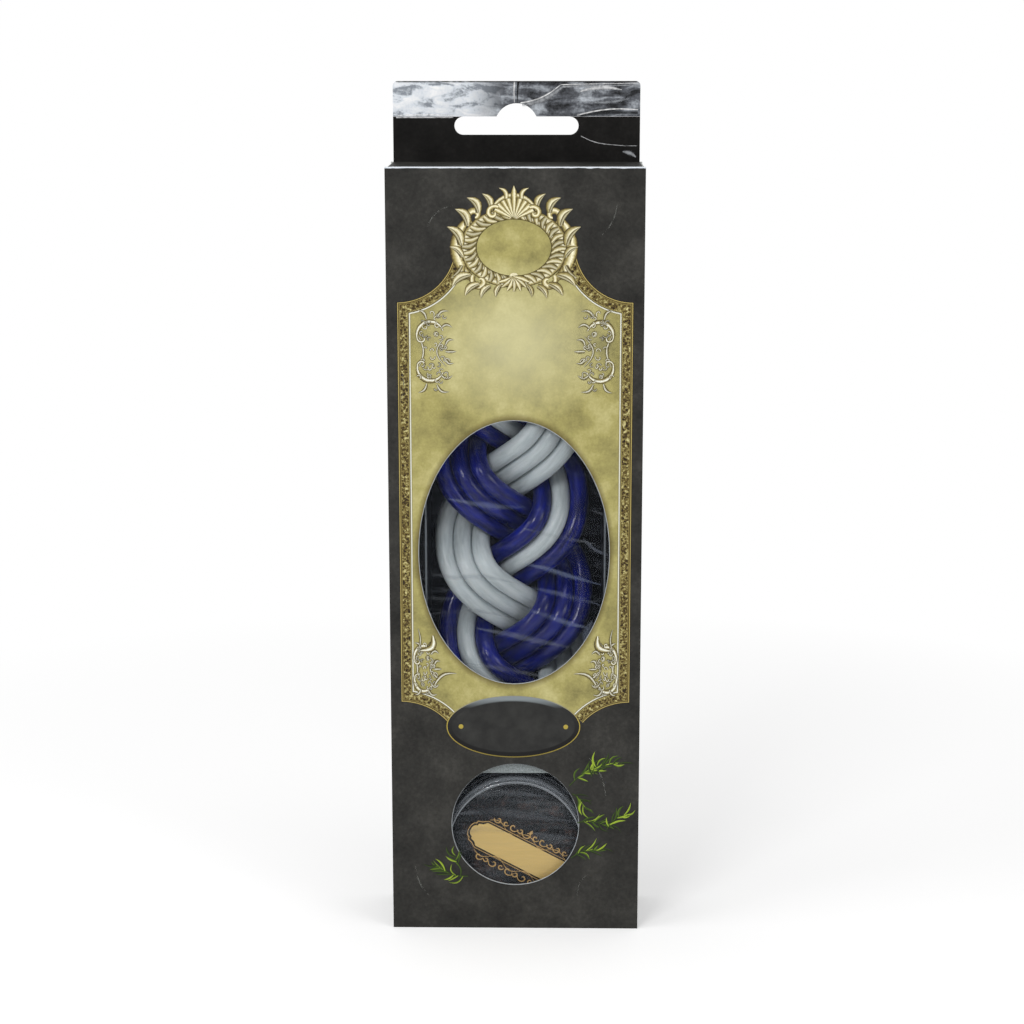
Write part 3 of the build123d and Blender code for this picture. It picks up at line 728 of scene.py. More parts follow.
def plaque_ink(new, place, xyz):
    """Offset ink painted as a moulded plaque, silver above, dark below and gold at the very edge."""
    across = drawn(new)[0]
    foot, top = PLAQUE_CENTRE[1] - 8.0, PLAQUE_CENTRE[1] + 7.5
    up = new("ShaderNodeMapRange", {0: xyz[2], 1: foot, 2: top})
    tarnish = ((0.3, "#0e0d0d"), (1.0, "#878f92"), (0.84, "#2b2b2a"))
    silver = new("ShaderNodeValToRGB", {0: up}, stops=tarnish)
    edge = ((0.0, "#8f7f35"), (1.0, "#8d9190"), (0.6, "#b9a548"))
    gilt = new("ShaderNodeValToRGB", {0: up}, stops=edge)
    _, middle = mottled(new, place, 0.3, 5, ((0.35, "#232322"), (0.75, "#353533")))
    step = new("ShaderNodeMath", {0: across, 1: 0.125}, operation="GREATER_THAN")
    colour = new("ShaderNodeMix", {0: step, 6: gilt, 7: silver}, 2, data_type="RGBA")
    deep = new("ShaderNodeMapRange", {0: across, 1: 0.6, 2: 0.8})
    colour = new("ShaderNodeMix", {0: deep, 6: colour, 7: middle}, 2, data_type="RGBA")
    return {"Base Color": colour, "Roughness": 0.38, "Specular IOR Level": 0.3}


class CARTON_OT_plaque(bpy.types.Operator):
    """Prints the blank oval plaque between the windows"""

    bl_idname = "candle_box.plaque"
    bl_label = "Blank plaque"

    def execute(self, context):
        centre, halves, lift = PLAQUE_CENTRE, PLAQUE_HALVES, 0.07
        sheet = Print()
        levels = (0.0, 0.25, 0.6, 1.2, 2.0)
        for a, b in zip(levels, levels[1:]):
            ends = (a / levels[-1], b / levels[-1])
            sheet.bridge(oval(centre, halves, -a), oval(centre, halves, -b), ends, lift=lift)
        sheet.area([oval(centre, halves, -levels[-1])], 0.5, lift, 1.0)
        for x in (-14.2, 13.2):
            sheet.area([oval((x, centre[1]), (0.62, 0.62), steps=20)], 1.0, 0.08, 0.06)
        sheet.lay("plaque_print", made_of("plaque_print", plaque_ink))
        return {"FINISHED"}


def leaf_ink(new, place, xyz):
    """Offset ink in leaf green, dark or bright by each needle's tone and a little brighter at one side."""
    across, tone = drawn(new)
    vein = new("ShaderNodeMath", {0: across, 1: 0.22, 2: tone}, operation="MULTIPLY_ADD")
    stops = ((0.05, "#18210c"), (1.05, "#a2ba36"), (0.65, "#45601a"))
    green = new("ShaderNodeValToRGB", {0: vein}, stops=stops)
    return {"Base Color": green, **INK}


def scuffed_coat(new, place, xyz):
    """Gloss coat scuffed to a grey haze that comes and goes along a scratch."""
    haze = new("ShaderNodeTexNoise", {"Vector": place, "Scale": 0.8, "Detail": 5})
    seen = new("ShaderNodeMapRange", {0: haze, 1: 0.4, 2: 0.62, 3: 0.05, 4: 0.7})
    return {"Base Color": "#6f716c", "Roughness": 0.5, "Alpha": seen, "Specular IOR Level": 0.3}


def sprig(sheet, base, heading, length, leaves, seed):
    """Draws a stem with narrow leaves that splay to both sides."""
    chance = random.Random(seed)
    stem = bow(base, on_oval(base, length, radians(heading)), 0.12)
    sheet.scroll(stem, 0.34, 0.3, 0.02, 0.9, 0.3)
    for i in range(leaves):
        share = 0.15 + 0.85 * i / max(leaves - 1, 1)
        foot = stem[round(share * (len(stem) - 1))]
        turn = heading + (-1) ** i * chance.uniform(24, 62) * (1.15 - share * 0.75)
        tip = on_oval(foot, chance.uniform(2.6, 4.6), radians(turn))
        leaf = bow(foot, tip, chance.uniform(-0.24, 0.24), 10)
        widths = swelled(len(leaf), chance.uniform(0.36, 0.58), 0.35, 0.03)
        sheet.strip(leaf, widths, chance.uniform(0.1, 1.0), 0.022)


class CARTON_OT_sprigs(bpy.types.Operator):
    """Prints the needle-leaved sprigs round the lower window and a few faint scratches"""

    bl_idname = "candle_box.sprigs"
    bl_label = "Sprigs"

    def execute(self, context):
        sheet = Print()
        for i, (base, heading, length, leaves) in enumerate((
            ((14.2, 39.8), 26, 14.0, 24), ((15.0, 37.6), -50, 4.6, 9), ((20.0, 42.4), 64, 3.4, 6),
            ((16.4, 29.6), -8, 7.6, 14), ((24.2, 27.8), 40, 6.4, 10), ((14.8, 19.8), 16, 7.6, 14),
            ((-12.6, 14.6), 160, 8.6, 15), ((-14.6, 17.2), 112, 3.4, 6),
        )):
            sprig(sheet, base, heading, length, leaves, 11 + i)
        sheet.lay("sprig_print", made_of("leaf_print", leaf_ink))
        scratches = Print()
        for a, b, bend, width in (
            ((-26.5, 17.5), (-22.5, 8.5), -0.1, 0.35), ((19.5, 47.5), (23.8, 37.0), 0.08, 0.4),
            ((16.4, 9.0), (19.2, 15.4), 0.12, 0.2), ((-28.8, 150.0), (-29.6, 141.0), 0.1, 0.2),
            ((-22.0, 186.0), (-15.5, 191.5), 0.15, 0.3), ((21.5, 184.0), (25.5, 192.0), -0.1, 0.25),
        ):
            scratches.scroll(bow(a, b, bend), width, 0.5, 0.01)
        scratches.lay("scratch_print", made_of("scuffed_coat", scuffed_coat))
        return {"FINISHED"}


def die_cut_edge(new, place, xyz):
    """Bare board where the die cut a window, nicked and uneven."""
    across = drawn(new)[0]
    nick = new("ShaderNodeTexNoise", {"Vector": place, "Scale": 0.7, "Detail": 6, "Roughness": 0.7})
    level = new("ShaderNodeMath", {0: nick, 1: across}, operation="SUBTRACT")
    bare = new("ShaderNodeMapRange", {0: level, 1: -0.35, 2: 0.05, 3: 0.1, 4: 0.95})
    # The round window's edge shows bright below and falls into shade above
    shown = new("ShaderNodeMapRange", {0: xyz[2], 1: 24.0, 2: 42.0, 3: 1.0, 4: 0.25})
    is_oval = new("ShaderNodeMath", {0: xyz[2], 1: BETWEEN_WINDOWS}, operation="GREATER_THAN")
    shown = new("ShaderNodeMath", {0: shown, 1: is_oval}, operation="MAXIMUM")
    seen = new("ShaderNodeMath", {0: bare, 1: shown}, operation="MULTIPLY")
    return {"Base Color": "#b4babe", "Roughness": 0.7, "Alpha": seen, "Specular IOR Level": 0.3}


def clear_film(new, place, xyz):
    """Cast polyester film, 0.15 mm: nearly invisible, with slack ripples a few millimetres apart."""
    flat = new("ShaderNodeVectorMath", {0: place, 1: (0.05, 1.0, 0.42)}, operation="MULTIPLY")
    ripple = new("ShaderNodeTexNoise", {"Vector": flat, "Scale": 1.0, "Detail": 3, "Distortion": 0.9})
    crest = new("ShaderNodeMath", {0: ripple, 1: 0.52}, operation="SUBTRACT")
    crest = new("ShaderNodeMath", {0: crest}, operation="ABSOLUTE")
    return {
        "Base Color": "#b9c4d4", "Roughness": 0.12, "IOR": 1.6,
        "Alpha": new("ShaderNodeMapRange", {0: crest, 1: 0.0, 2: 0.02, 3: 0.03, 4: 0.008}),
        "Normal": new("ShaderNodeBump", {"Height": ripple, "Strength": 0.6, "Distance": 0.0008}),
    }


class CARTON_OT_windows(bpy.types.Operator):
    """Shows the bare cut board round both windows and the clear film behind them"""

    bl_idname = "candle_box.windows"
    bl_label = "Windows"

    def execute(self, context):
        rim = context.scene.carton_looks.rim / MM
        sheet = Print()
        for centre, halves in ((OVAL_CENTRE, OVAL_HALVES), (ROUND_CENTRE, ROUND_HALVES)):
            sheet.bridge(oval(centre, halves, 0.04, 128), oval(centre, halves, -rim, 128), lift=0.016)
        sheet.lay("window_cut_edges", made_of("die_cut_edge", die_cut_edge))
        dress(["window_film"], made_of("clear_window_film", clear_film))
        # Slack folds in the film that catch the light as a few soft lines
        glare = Print(box_mm("window_film")[0].y)
        for path, width, tone in (
            ([(-17.2, 116.7), (-10.0, 115.4), (-3.4, 114.6), (2.5, 114.6)], 1.5, 0.75),
            ([(2.5, 99.6), (7.4, 98.6), (14.8, 96.2), (22.4, 94.1)], 1.3, 0.9),
            ([(2.5, 87.9), (8.4, 85.8), (14.2, 83.7), (19.0, 82.6)], 1.5, 0.8),
            ([(-9.9, 82.4), (-2.0, 81.0), (6.0, 79.0), (14.0, 77.5)], 1.6, 0.6),
            ([(-24.0, 91.0), (-19.0, 90.2), (-14.0, 90.6)], 1.0, 0.5),
            ([(17.4, 106.4), (20.2, 103.6), (24.0, 101.8)], 0.9, 0.6),
            ([(19.6, 113.8), (22.4, 112.8), (24.2, 112.6)], 0.7, 0.5),
            ([(20.0, 84.6), (18.6, 81.4), (18.0, 78.6)], 2.2, 0.7),
            ([(-24.0, 97.4), (-16.0, 96.0), (-8.0, 96.4), (0.0, 94.6)], 1.4, 0.4),
            ([(-12.6, 73.0), (-2.0, 71.4), (8.0, 69.4)], 1.4, 0.45),
            ([(2.0, 109.0), (10.0, 107.0), (20.6, 105.0)], 1.2, 0.45),
            ([(-22.4, 86.4), (-10.0, 87.2), (0.0, 85.2)], 1.2, 0.4),
            ([(3.0, 93.6), (12.0, 91.6), (22.0, 88.8)], 1.3, 0.7),
            ([(-15.8, 31.8), (-6.0, 32.6), (4.0, 31.2), (15.6, 29.8)], 2.4, 0.46),
            ([(-12.6, 36.4), (-3.0, 37.8), (9.0, 36.6)], 1.7, 0.42),
            ([(-15.6, 26.4), (-9.0, 27.6), (-3.0, 27.0)], 1.6, 0.4),
            ([(4.0, 26.6), (10.0, 25.6), (15.8, 25.2)], 1.6, 0.4),
        ):
            pairs = zip(path, path[1:])
            smooth = [tuple(Vector(a).lerp(Vector(b), i / 8)) for a, b in pairs for i in range(8)]
            glare.scroll(smooth + path[-1:], width * 1.5, tone, 0.01, 0.2, 0.2)
        soft = {"note": "#8c9cc0", "strongest": 0.26, "fleck": 0.12}
        glare.lay("film_fold_lights", made_of("film_fold_light", painted_light_streaks, **soft))
        return {"FINISHED"}


# Where the tray's two front folds lie from side to side, and what is in front of its walls
FOLD_SIDE, FOLD_FRONT = 23.05, -9.9


def black_card(new, place, xyz):
    """Dyed black card: satin, with a pale line along each front fold that is partly cracked dye and partly a
    painted highlight.
    """
    _, black = mottled(new, place, 1.8, 4, ((0.3, "#060605"), (0.75, "#111110")))
    # A pale line on each front fold: a painted highlight on the fold's curve as well as cracked dye
    off = new("ShaderNodeMath", {0: xyz[0]}, operation="ABSOLUTE")
    off = new("ShaderNodeMath", {0: off, 1: FOLD_SIDE}, operation="SUBTRACT")
    off = new("ShaderNodeMath", {0: off}, operation="ABSOLUTE")
    fold = new("ShaderNodeMapRange", {0: off, 1: 0.1, 2: 0.32, 3: 0.5, 4: 0.0})
    front = new("ShaderNodeMath", {0: xyz[1], 1: FOLD_FRONT}, operation="LESS_THAN")
    fold = new("ShaderNodeMath", {0: fold, 1: front}, operation="MULTIPLY")
    colour = new("ShaderNodeMix", {0: fold, 6: black, 7: "#8f979e"}, 2, data_type="RGBA")
    return {"Base Color": colour, "Roughness": 0.5, "Specular IOR Level": 0.06}


def grey_card(new, place, xyz):
    """Unbleached pulp card: matt and pale, flecked by fibres."""
    _, pale = mottled(new, place, 2.4, 4, ((0.25, "#6d7473"), (0.75, "#a1a9aa")))
    return {"Base Color": pale, "Roughness": 0.7, "Specular IOR Level": 0.3}


class CARTON_OT_tray(bpy.types.Operator):
    """Colours the folded black tray, its shelf and the pale shelf lip"""

    bl_idname = "candle_box.tray"
    bl_label = "Inner tray"

    def execute(self, context):
        dress([
            "tray_back", "tray_left_wall", "tray_right_wall", "tray_left_flange", "tray_right_flange",
            "tray_foot", "candle_shelf",
        ], made_of("dyed_black_card", black_card))
        dress(["shelf_lip"], made_of("grey_pulp_card", grey_card))
        return {"FINISHED"}


# The plait's law, in millimetres and shares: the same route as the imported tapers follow
PITCH, SWING, DEPTH, ROLL, THIRD = 73.1, 13.15, 5.7, 1.4, 0.03
EDGE, TAPER_PITCH, STACK = 103.4, 4.78, 5.8
ENDS = {-1: (56.0, 11.1, 0.85), 1: (152.1, 23.9, 0.43)}
LEAN, LEAN_FOOT, LEAN_LENGTH = 1.6, 80.0, 44.0
MIDDLE_Y, TIP = -0.9, 3.2
ROUTE_STEPS, NEARBY = 280, 0.04


def eased(share):
    """A smooth step from 0 to 1."""
    bounded = min(max(share, 0), 1)
    return bounded * bounded * (3 - 2 * bounded)


def ribbon_at(ribbon, height):
    """The ribbon's angle, its place from side to side, and how far beyond which end a height lies."""
    way = -1 if height < ENDS[-1][0] else 1
    limit, length, _ = ENDS[way]
    beyond = max(way * (height - limit), 0)
    slowed = min(beyond, length)
    slowed -= slowed * slowed / (2 * length)
    level = limit + way * slowed if beyond else height
    phase = 2 * pi * ((EDGE - level) / PITCH + ribbon / 3)
    swing = (1 + THIRD) * cos(phase) - THIRD * cos(3 * phase)
    gathered = 1 - eased((height - ENDS[1][0]) / ENDS[1][1])
    return phase, -SWING * swing * gathered, beyond, way


def taper_at(ribbon, place, height):
    """A point on one taper's middle line."""
    phase, x, beyond, way = ribbon_at(ribbon, height)
    above, below = (ribbon_at(ribbon, height + step)[1] for step in (NEARBY, -NEARBY))
    slope = (above - below) / (2 * NEARBY)
    woven = -DEPTH * sin(2 * phase) - ROLL * place * sin(phase)
    share = eased(1 - beyond / (ENDS[way][1] * ENDS[way][2]))
    depth = share * woven + (1 - share) * STACK * (0, -1, 1)[ribbon]
    across = place * TAPER_PITCH / sqrt(1 + slope * slope)
    level = height - across * slope
    lean = LEAN * eased((level - LEAN_FOOT) / LEAN_LENGTH)
    return (x + across - lean, MIDDLE_Y + depth, level)


def dipped_wax(new, place, xyz, colour, deep, pale, glow):
    """Dipped paraffin: light goes a little way in, and the dips leave faint long streaks under a sheen."""
    around = new("ShaderNodeAttribute", out="Vector", attribute_name="around")
    along = new("ShaderNodeAttribute", out="Fac", attribute_name="along")
    long_axis = new("ShaderNodeCombineXYZ", {2: along})
    stretched = new("ShaderNodeVectorMath", {0: long_axis, 1: (0, 0, 70.0)}, operation="MULTIPLY")
    mapped = new("ShaderNodeVectorMath", {0: around, 1: stretched}, operation="ADD")
    streaks = new("ShaderNodeTexNoise", {"Vector": mapped, "Scale": 2.2, "Detail": 4, "Roughness": 0.6})
    cloud = new("ShaderNodeTexNoise", {"Vector": place, "Scale": 0.12, "Detail": 3})
    level = new("ShaderNodeMath", {0: cloud, 1: 0.5, 2: streaks}, operation="MULTIPLY_ADD")
    stops = ((0.5, deep), (1.0, pale), (0.74, shaded(colour, 1.0)))
    return {
        "Base Color": new("ShaderNodeValToRGB", {0: level}, stops=stops),
        "Roughness": new("ShaderNodeMapRange", {0: cloud, 1: 0.3, 2: 0.7, 3: 0.26, 4: 0.4}),
        "Normal": new("ShaderNodeBump", {"Height": streaks, "Strength": 0.18, "Distance": 0.0004}),
        "IOR": 1.44, "Specular IOR Level": 0.08, "Subsurface Weight": glow,
        "Subsurface Radius": (1.0, 0.9, 0.8), "Subsurface Scale": 0.0016,
        "Coat Weight": 0.5, "Coat Roughness": 0.14,
    }


def growing_tree(name, sizes):
    """A geometry tree with named inputs, the adding of nodes to it, and the sockets that bring those in."""
    tree = bpy.data.node_groups.new(name, "GeometryNodeTree")
    tree.interface.new_socket("Geometry", in_out="INPUT", socket_type="NodeSocketGeometry")
    for label, kind, value in sizes:
        tree.interface.new_socket(label, in_out="INPUT", socket_type=kind).default_value = value
    tree.interface.new_socket("Geometry", in_out="OUTPUT", socket_type="NodeSocketGeometry")
    new = partial(add, tree)
    return tree, new, new("NodeGroupInput", out=None)


def end_tree(new, shape, material):
    """Ends a geometry tree with a shape that is real, smooth and of one material."""
    real = new("GeometryNodeRealizeInstances", {0: shape})
    smooth = new("GeometryNodeSetShadeSmooth", {"Geometry": real})
    done = new("GeometryNodeSetMaterial", {"Geometry": smooth, "Material": material})
    new("NodeGroupOutput", {0: done}, None)


def taper_tree(name, thickness, sides, material):
    """Geometry nodes that turn a line into a dipped taper with a thinned tip."""
    tree, new, given = growing_tree(name, (
        ("Thickness", "NodeSocketFloat", thickness), ("Tip length", "NodeSocketFloat", TIP * MM),
        ("Sides", "NodeSocketInt", sides), ("Unevenness", "NodeSocketFloat", 0.02),
    ))
    curve = new("GeometryNodeMeshToCurve", {0: given["Geometry"]})
    length = new("GeometryNodeSplineParameter", out="Length")
    curve = new(
        "GeometryNodeStoreNamedAttribute", {"Geometry": curve, "Name": "along", "Value": length},
        data_type="FLOAT", domain="POINT",
    )
    total = new("GeometryNodeSplineLength")
    left = new("ShaderNodeMath", {0: total, 1: length}, operation="SUBTRACT")
    tip = new("ShaderNodeMapRange", {0: left, 1: 0.0, 2: given["Tip length"], 3: 0.48, 4: 1.0})
    noise = new("ShaderNodeTexNoise", {"Scale": 90.0, "Detail": 2})
    swell = new("ShaderNodeMath", {0: noise, 1: 0.5}, operation="SUBTRACT")
    swell = new("ShaderNodeMath", {0: swell, 1: given["Unevenness"], 2: 1.0}, operation="MULTIPLY_ADD")
    size = new("ShaderNodeMath", {0: tip, 1: swell}, operation="MULTIPLY")
    half = new("ShaderNodeMath", {0: given["Thickness"], 1: 0.5}, operation="MULTIPLY")
    ring = new("GeometryNodeCurvePrimitiveCircle", {"Resolution": given["Sides"], "Radius": 1.0})
    ring = new(
        "GeometryNodeStoreNamedAttribute",
        {"Geometry": ring, "Name": "around", "Value": new("GeometryNodeInputPosition")},
        data_type="FLOAT_VECTOR", domain="POINT",
    )
    scale = new("ShaderNodeMath", {0: size, 1: half}, operation="MULTIPLY")
    shape = {"Curve": curve, "Profile Curve": ring, "Scale": scale, "Fill Caps": True}
    end_tree(new, new("GeometryNodeCurveToMesh", shape), material)
    return tree


def grown(thing, tree):
    """Runs a geometry tree over an object and keeps the result as its plain mesh."""
    thing.modifiers.new("Grow", "NODES").node_group = tree
    bpy.context.view_layer.update()
    result = bpy.data.meshes.new_from_object(thing.evaluated_get(bpy.context.evaluated_depsgraph_get()))
    thing.modifiers.clear()
    thing.data = result
    return thing


class CANDLE_OT_tapers(bpy.types.Operator):
    """Dips the nine wax tapers of the plait"""

    bl_idname = "candle_box.tapers"
    bl_label = "Plaited tapers"

    def execute(self, context):
        looks = context.scene.candle_looks
        tones = {
            "white": {"colour": looks.white, "deep": "#9ca5a9", "pale": "#bdc4c7", "glow": 0.4},
            "blue": {"colour": looks.blue, "deep": "#040935", "pale": "#0e1c80", "glow": 0.1},
        }
        waxes = {word: made_of(f"{word}_dipped_wax", dipped_wax, **given) for word, given in tones.items()}
        low, high = (corner.z for corner in box_mm("white_taper_middle"))
        heights = [low + (high - low) * i / ROUTE_STEPS for i in range(ROUTE_STEPS + 1)]
        edges = [(i, i + 1) for i in range(ROUTE_STEPS)]
        for ribbon, word in enumerate(("white", "blue", "mixed")):
            for place, side in ((-1, "left"), (0, "middle"), (1, "right")):
                wax = "white" if ribbon == 0 or (ribbon == 2 and place == 0) else "blue"
                tree = taper_tree(f"taper_{word}_{side}", looks.thickness, looks.sides, waxes[wax])
                name = f"wax_{word}_{side}"
                line = mesh_mm(name, [taper_at(ribbon, place, z) for z in heights], edges=edges)
                taper = grown(placed(name, line), tree)
                hand_over(taper, "candle", [f"{word}_taper_{side}"])
        return {"FINISHED"}


def braided_cotton(new, place, xyz):
    """Braided cotton: threads about a third of a millimetre apart, waxed a little yellow."""
    twist = new("ShaderNodeTexWave", {"Vector": place, "Scale": 0.9, "Distortion": 1.2, "Detail": 2}, "Fac")
    return {
        "Base Color": new("ShaderNodeValToRGB", {0: twist}, stops=((0.2, "#a79f8a"), (0.8, "#e6e2d3"))),
        "Roughness": 0.8, "Specular IOR Level": 0.2,
        "Normal": new("ShaderNodeBump", {"Height": twist, "Strength": 0.5, "Distance": 0.0003}),
    }


class CANDLE_OT_wicks(bpy.types.Operator):
    """Colours the cotton wicks"""

    bl_idname = "candle_box.wicks"
    bl_label = "Cotton wicks"

    def execute(self, context):
        dress(["wicks"], made_of("braided_cotton", braided_cotton))
        return {"FINISHED"}


def ring_faces(rings, steps, closed):
    """Faces between rings of points, also from the last ring to the first where the shape is closed."""
    faces = []
    for j in range(rings if closed else rings - 1):
        row, after = j * steps, (j + 1) % rings * steps
        faces += [[row + i, row + (i + 1) % steps, after + (i + 1) % steps, after + i] for i in range(steps)]
    return faces


def turned_piece(name, profile, material, body, replaced):
    """A closed profile of (radius, y) turned about the tub's axis, smooth and with its normals outwards."""
    points, steps = [], 128
    for radius, y in profile:
        points += [(x, y, z) for x, z in oval(TUB_CENTRE, (radius, radius), steps=steps)]
    mesh = mesh_mm(name, points, ring_faces(len(profile), steps, closed=True))
    mesh.materials.append(material)
    mesh.polygons.foreach_set("use_smooth", [True] * len(mesh.polygons))
    shell = bmesh.new()
    shell.from_mesh(mesh)
    bmesh.ops.remove_doubles(shell, verts=shell.verts, dist=1e-7)
    bmesh.ops.recalc_face_normals(shell, faces=shell.faces)
    shell.to_mesh(mesh)
    shell.free()
    hand_over(placed(name, mesh), body, [replaced])


def crystal_polystyrene(new, place, xyz):
    """Moulded polystyrene: clear where looked through squarely and bright where it curves away, with painted
    highlights along the cover's two moulded rim edges and a painted smoky blue band between them where the
    wall is seen edge-on."""
    facing = new("ShaderNodeLayerWeight", {"Blend": 0.35}, "Facing")
    turned = new("ShaderNodeMapRange", {0: facing, 1: 0.4, 2: 0.95, 3: 0.012, 4: 0.08})
    far = far_from(new, place, TUB_CENTRE, (1, 1))
    across = new("ShaderNodeMapRange", {0: far, 1: TUB_RADIUS - 2.2, 2: TUB_RADIUS})
    # Painted highlights at the two rim edges, with painted smoky shade between them where the wall is seen
    # edge-on
    bright, smoky = hex_colour("#dde5ee")[:3], hex_colour("#515c66")[:3]
    rim_highlights = new("ShaderNodeValToRGB", {0: across}, None, (
        (0.2, [*smoky, 0.02]), (1.0, [*bright, 0.3]), (0.27, [*bright, 0.6]),
        (0.34, [*smoky, 0.05]), (0.6, [*bright, 0.14]), (0.68, [*smoky, 0.06]),
    ))
    # Flow marks up to two centimetres long cloud the flat of the cover
    long = new("ShaderNodeVectorMath", {0: place, 1: (0.05, 0.3, 0.3)}, operation="MULTIPLY")
    flow = new("ShaderNodeTexNoise", {"Vector": long, "Scale": 1.0, "Detail": 3})
    smoke = new("ShaderNodeMapRange", {0: flow, 1: 0.5, 2: 0.72, 3: 0.0, 4: 0.05})
    seen = new("ShaderNodeMath", {0: turned, 1: rim_highlights["Alpha"]}, operation="MAXIMUM")
    seen = new("ShaderNodeMath", {0: seen, 1: smoke}, operation="ADD")
    clear = [*bpy.context.scene.tub_looks.clear]
    colour = new("ShaderNodeMix", {0: across, 6: clear, 7: rim_highlights["Color"]}, 2, data_type="RGBA")
    return {
        "Base Color": colour, "Roughness": 0.06, "IOR": 1.59, "Alpha": seen,
        "Coat Weight": 0.15, "Coat Roughness": 0.03,
    }


class TUB_OT_shell(bpy.types.Operator):
    """Moulds the clear tub and its push-on lid"""

    bl_idname = "candle_box.tub"
    bl_label = "Clear tub"

    def execute(self, context):
        clear = made_of("crystal_polystyrene", crystal_polystyrene)
        radius, front, back = TUB_RADIUS, cover_low.y, cover_high.y
        cover = [(0.0, front + 0.6)] + [(radius - inset, front + depth) for inset, depth in (
            (1.9, 0.6), (1.5, 0.5), (1.3, 0.25), (1.1, 0.02), (0.8, 0.0), (0.4, 0.05), (0.1, 0.25),
            (0.0, 0.6),
        )] + [
            (radius, back - 0.3), (radius - 0.2, back), (radius - 0.7, back), (radius - 0.9, back - 0.2),
            (radius - 0.9, front + 1.9), (radius - 1.2, front + 1.5), (0.0, front + 1.5),
        ]
        turned_piece("tub_cover_clear", cover, clear, "tub_cover", "tub_lid")
        cup, mouth, floor = radius - 1.1, cup_low.y, cup_high.y
        flange = back + 0.2
        wall = [
            (0.0, floor), (cup - 1.0, floor), (cup - 0.3, floor - 0.3), (cup, floor - 1.0),
            (cup, flange + 0.9), (radius, flange + 0.9), (radius, flange), (cup, flange), (cup, mouth),
            (cup - 0.9, mouth), (cup - 0.9, floor - 1.4), (cup - 1.4, floor - 0.9), (0.0, floor - 0.9),
        ]
        turned_piece("tub_cup_clear", wall, clear, "tub", "tub_base")
        return {"FINISHED"}


# The label's band: its turn, its middle and half width across, and its reach and two ends from the axis
LABEL_TURN, LABEL_MIDDLE, LABEL_HALF, LABEL_REACH = radians(-28), -1.2, 3.6, 17.6
LABEL_RIGHT, LABEL_LENGTH = 17.75, 30.5
LABEL_LEFT = LABEL_RIGHT - LABEL_LENGTH


def label_place(points):
    """Turns points along and across the label's band into the tub's front."""
    c, s = cos(LABEL_TURN), sin(LABEL_TURN)
    return [(TUB_CENTRE[0] + u * c - v * s, TUB_CENTRE[1] + u * s + v * c) for u, v in points]


def band_outline(grow):
    """The band with a bracket-shaped left end, its right end cut by the cover."""
    h, left, middle = LABEL_HALF + grow, LABEL_LEFT, LABEL_MIDDLE
    rim = LABEL_REACH - 0.35 + grow * 0.3
    upper, lower = (atan2(v, sqrt(rim ** 2 - v ** 2)) for v in (middle + h, middle - h))
    right = [on_oval((0.0, 0.0), rim, lower + (upper - lower) * i / 16) for i in range(17)]
    shoulders = [(left + 3.2, h), (left + 2.4 - grow, h - 0.9), (left + 1.2 - grow, h - 1.3)]
    bulge = (left + 1.2 - grow, middle)
    end = [on_oval(bulge, -1.2, pi / 2 - pi * i / 10, h - 1.9) for i in range(11)]
    above = [(u, middle + v) for u, v in shoulders]
    below = [(u, middle - v) for u, v in shoulders[::-1]]
    return label_place(right + above + end + below)


def gold_ink(new, place, xyz):
    """Gold ink on clear film: brushed lightly along the band, printed black at its outline."""
    tone = drawn(new)[1]
    along = {"Vector": place, "Rotation": (0, LABEL_TURN, 0), "Scale": (0.12, 1.0, 1.8)}
    turned = new("ShaderNodeMapping", along)
    paper = bpy.context.scene.tub_looks.paper
    _, ink = mottled(new, turned, 1.2, 4, ((0.2, shaded(paper, 0.94)), (0.8, shaded(paper, 1.08))))
    outline = new("ShaderNodeMath", {0: tone, 1: 0.2}, operation="LESS_THAN")
    inked = new("ShaderNodeMath", {0: tone, 1: 0.6}, operation="GREATER_THAN")
    colour = new("ShaderNodeMix", {0: inked, 6: ink, 7: "#b1905a"}, 2, data_type="RGBA")
    colour = new("ShaderNodeMix", {0: outline, 6: colour, 7: "#15120e"}, 2, data_type="RGBA")
    return {"Base Color": colour, "Roughness": 0.4, "Specular IOR Level": 0.4}


class TUB_OT_label(bpy.types.Operator):
    """Prints the gold band on the tub's cover with plain scrolls beside it"""

    bl_idname = "candle_box.label"
    bl_label = "Tub label"

    def execute(self, context):
        sheet = Print(box_mm("tub_label")[1].y)
        sheet.area([band_outline(0.0)], 0.5, 0.12, 0.2)
        sheet.area([band_outline(0.42), band_outline(0.16)[::-1]], 0.0, 0.13, 0.9)
        sheet.area([band_outline(0.62), band_outline(0.42)[::-1]], 0.9, 0.13, 0.5)
        # Paired spirals run along both sides of the band, smaller towards the ends
        for side in (1, -1):
            v = LABEL_MIDDLE + side * (LABEL_HALF + 2.1)
            for i in range(6):
                u, way = -7.4 + 4.4 * i, (-1) ** i
                size = 1.75 - 0.22 * abs(i - 2.2)
                if hypot(u + size, v + side * size) > LABEL_REACH - 0.6:
                    continue
                for x, share, sense in ((u, 1.0, way), (u + 2.2, 0.6, -way)):
                    path = curl((x, v), 90 * side + 90 * sense, 340 * side * sense, size * share, 0.3)
                    sheet.scroll(label_place(path), 0.34, 0.8, 0.125, 0.6, 0.5)
                stem = bow((u - 2.0, v - side * 1.1), (u + 2.4, v - side * 1.1), 0.2 * side * way)
                sheet.scroll(label_place(stem), 0.24, 0.75, 0.124, 0.4, 0.4)
        foot = LABEL_MIDDLE + LABEL_HALF
        peak = label_place([(1.4, foot + 3.0), (1.9, foot + 3.7), (2.4, foot + 3.0), (1.9, foot + 2.3)])
        sheet.area([peak], 0.85, 0.126)
        gold = made_of("gold_ink_label", gold_ink)
        sheet.lay("tub_label_print", gold, "tub_cover", ["tub_label"])
        return {"FINISHED"}


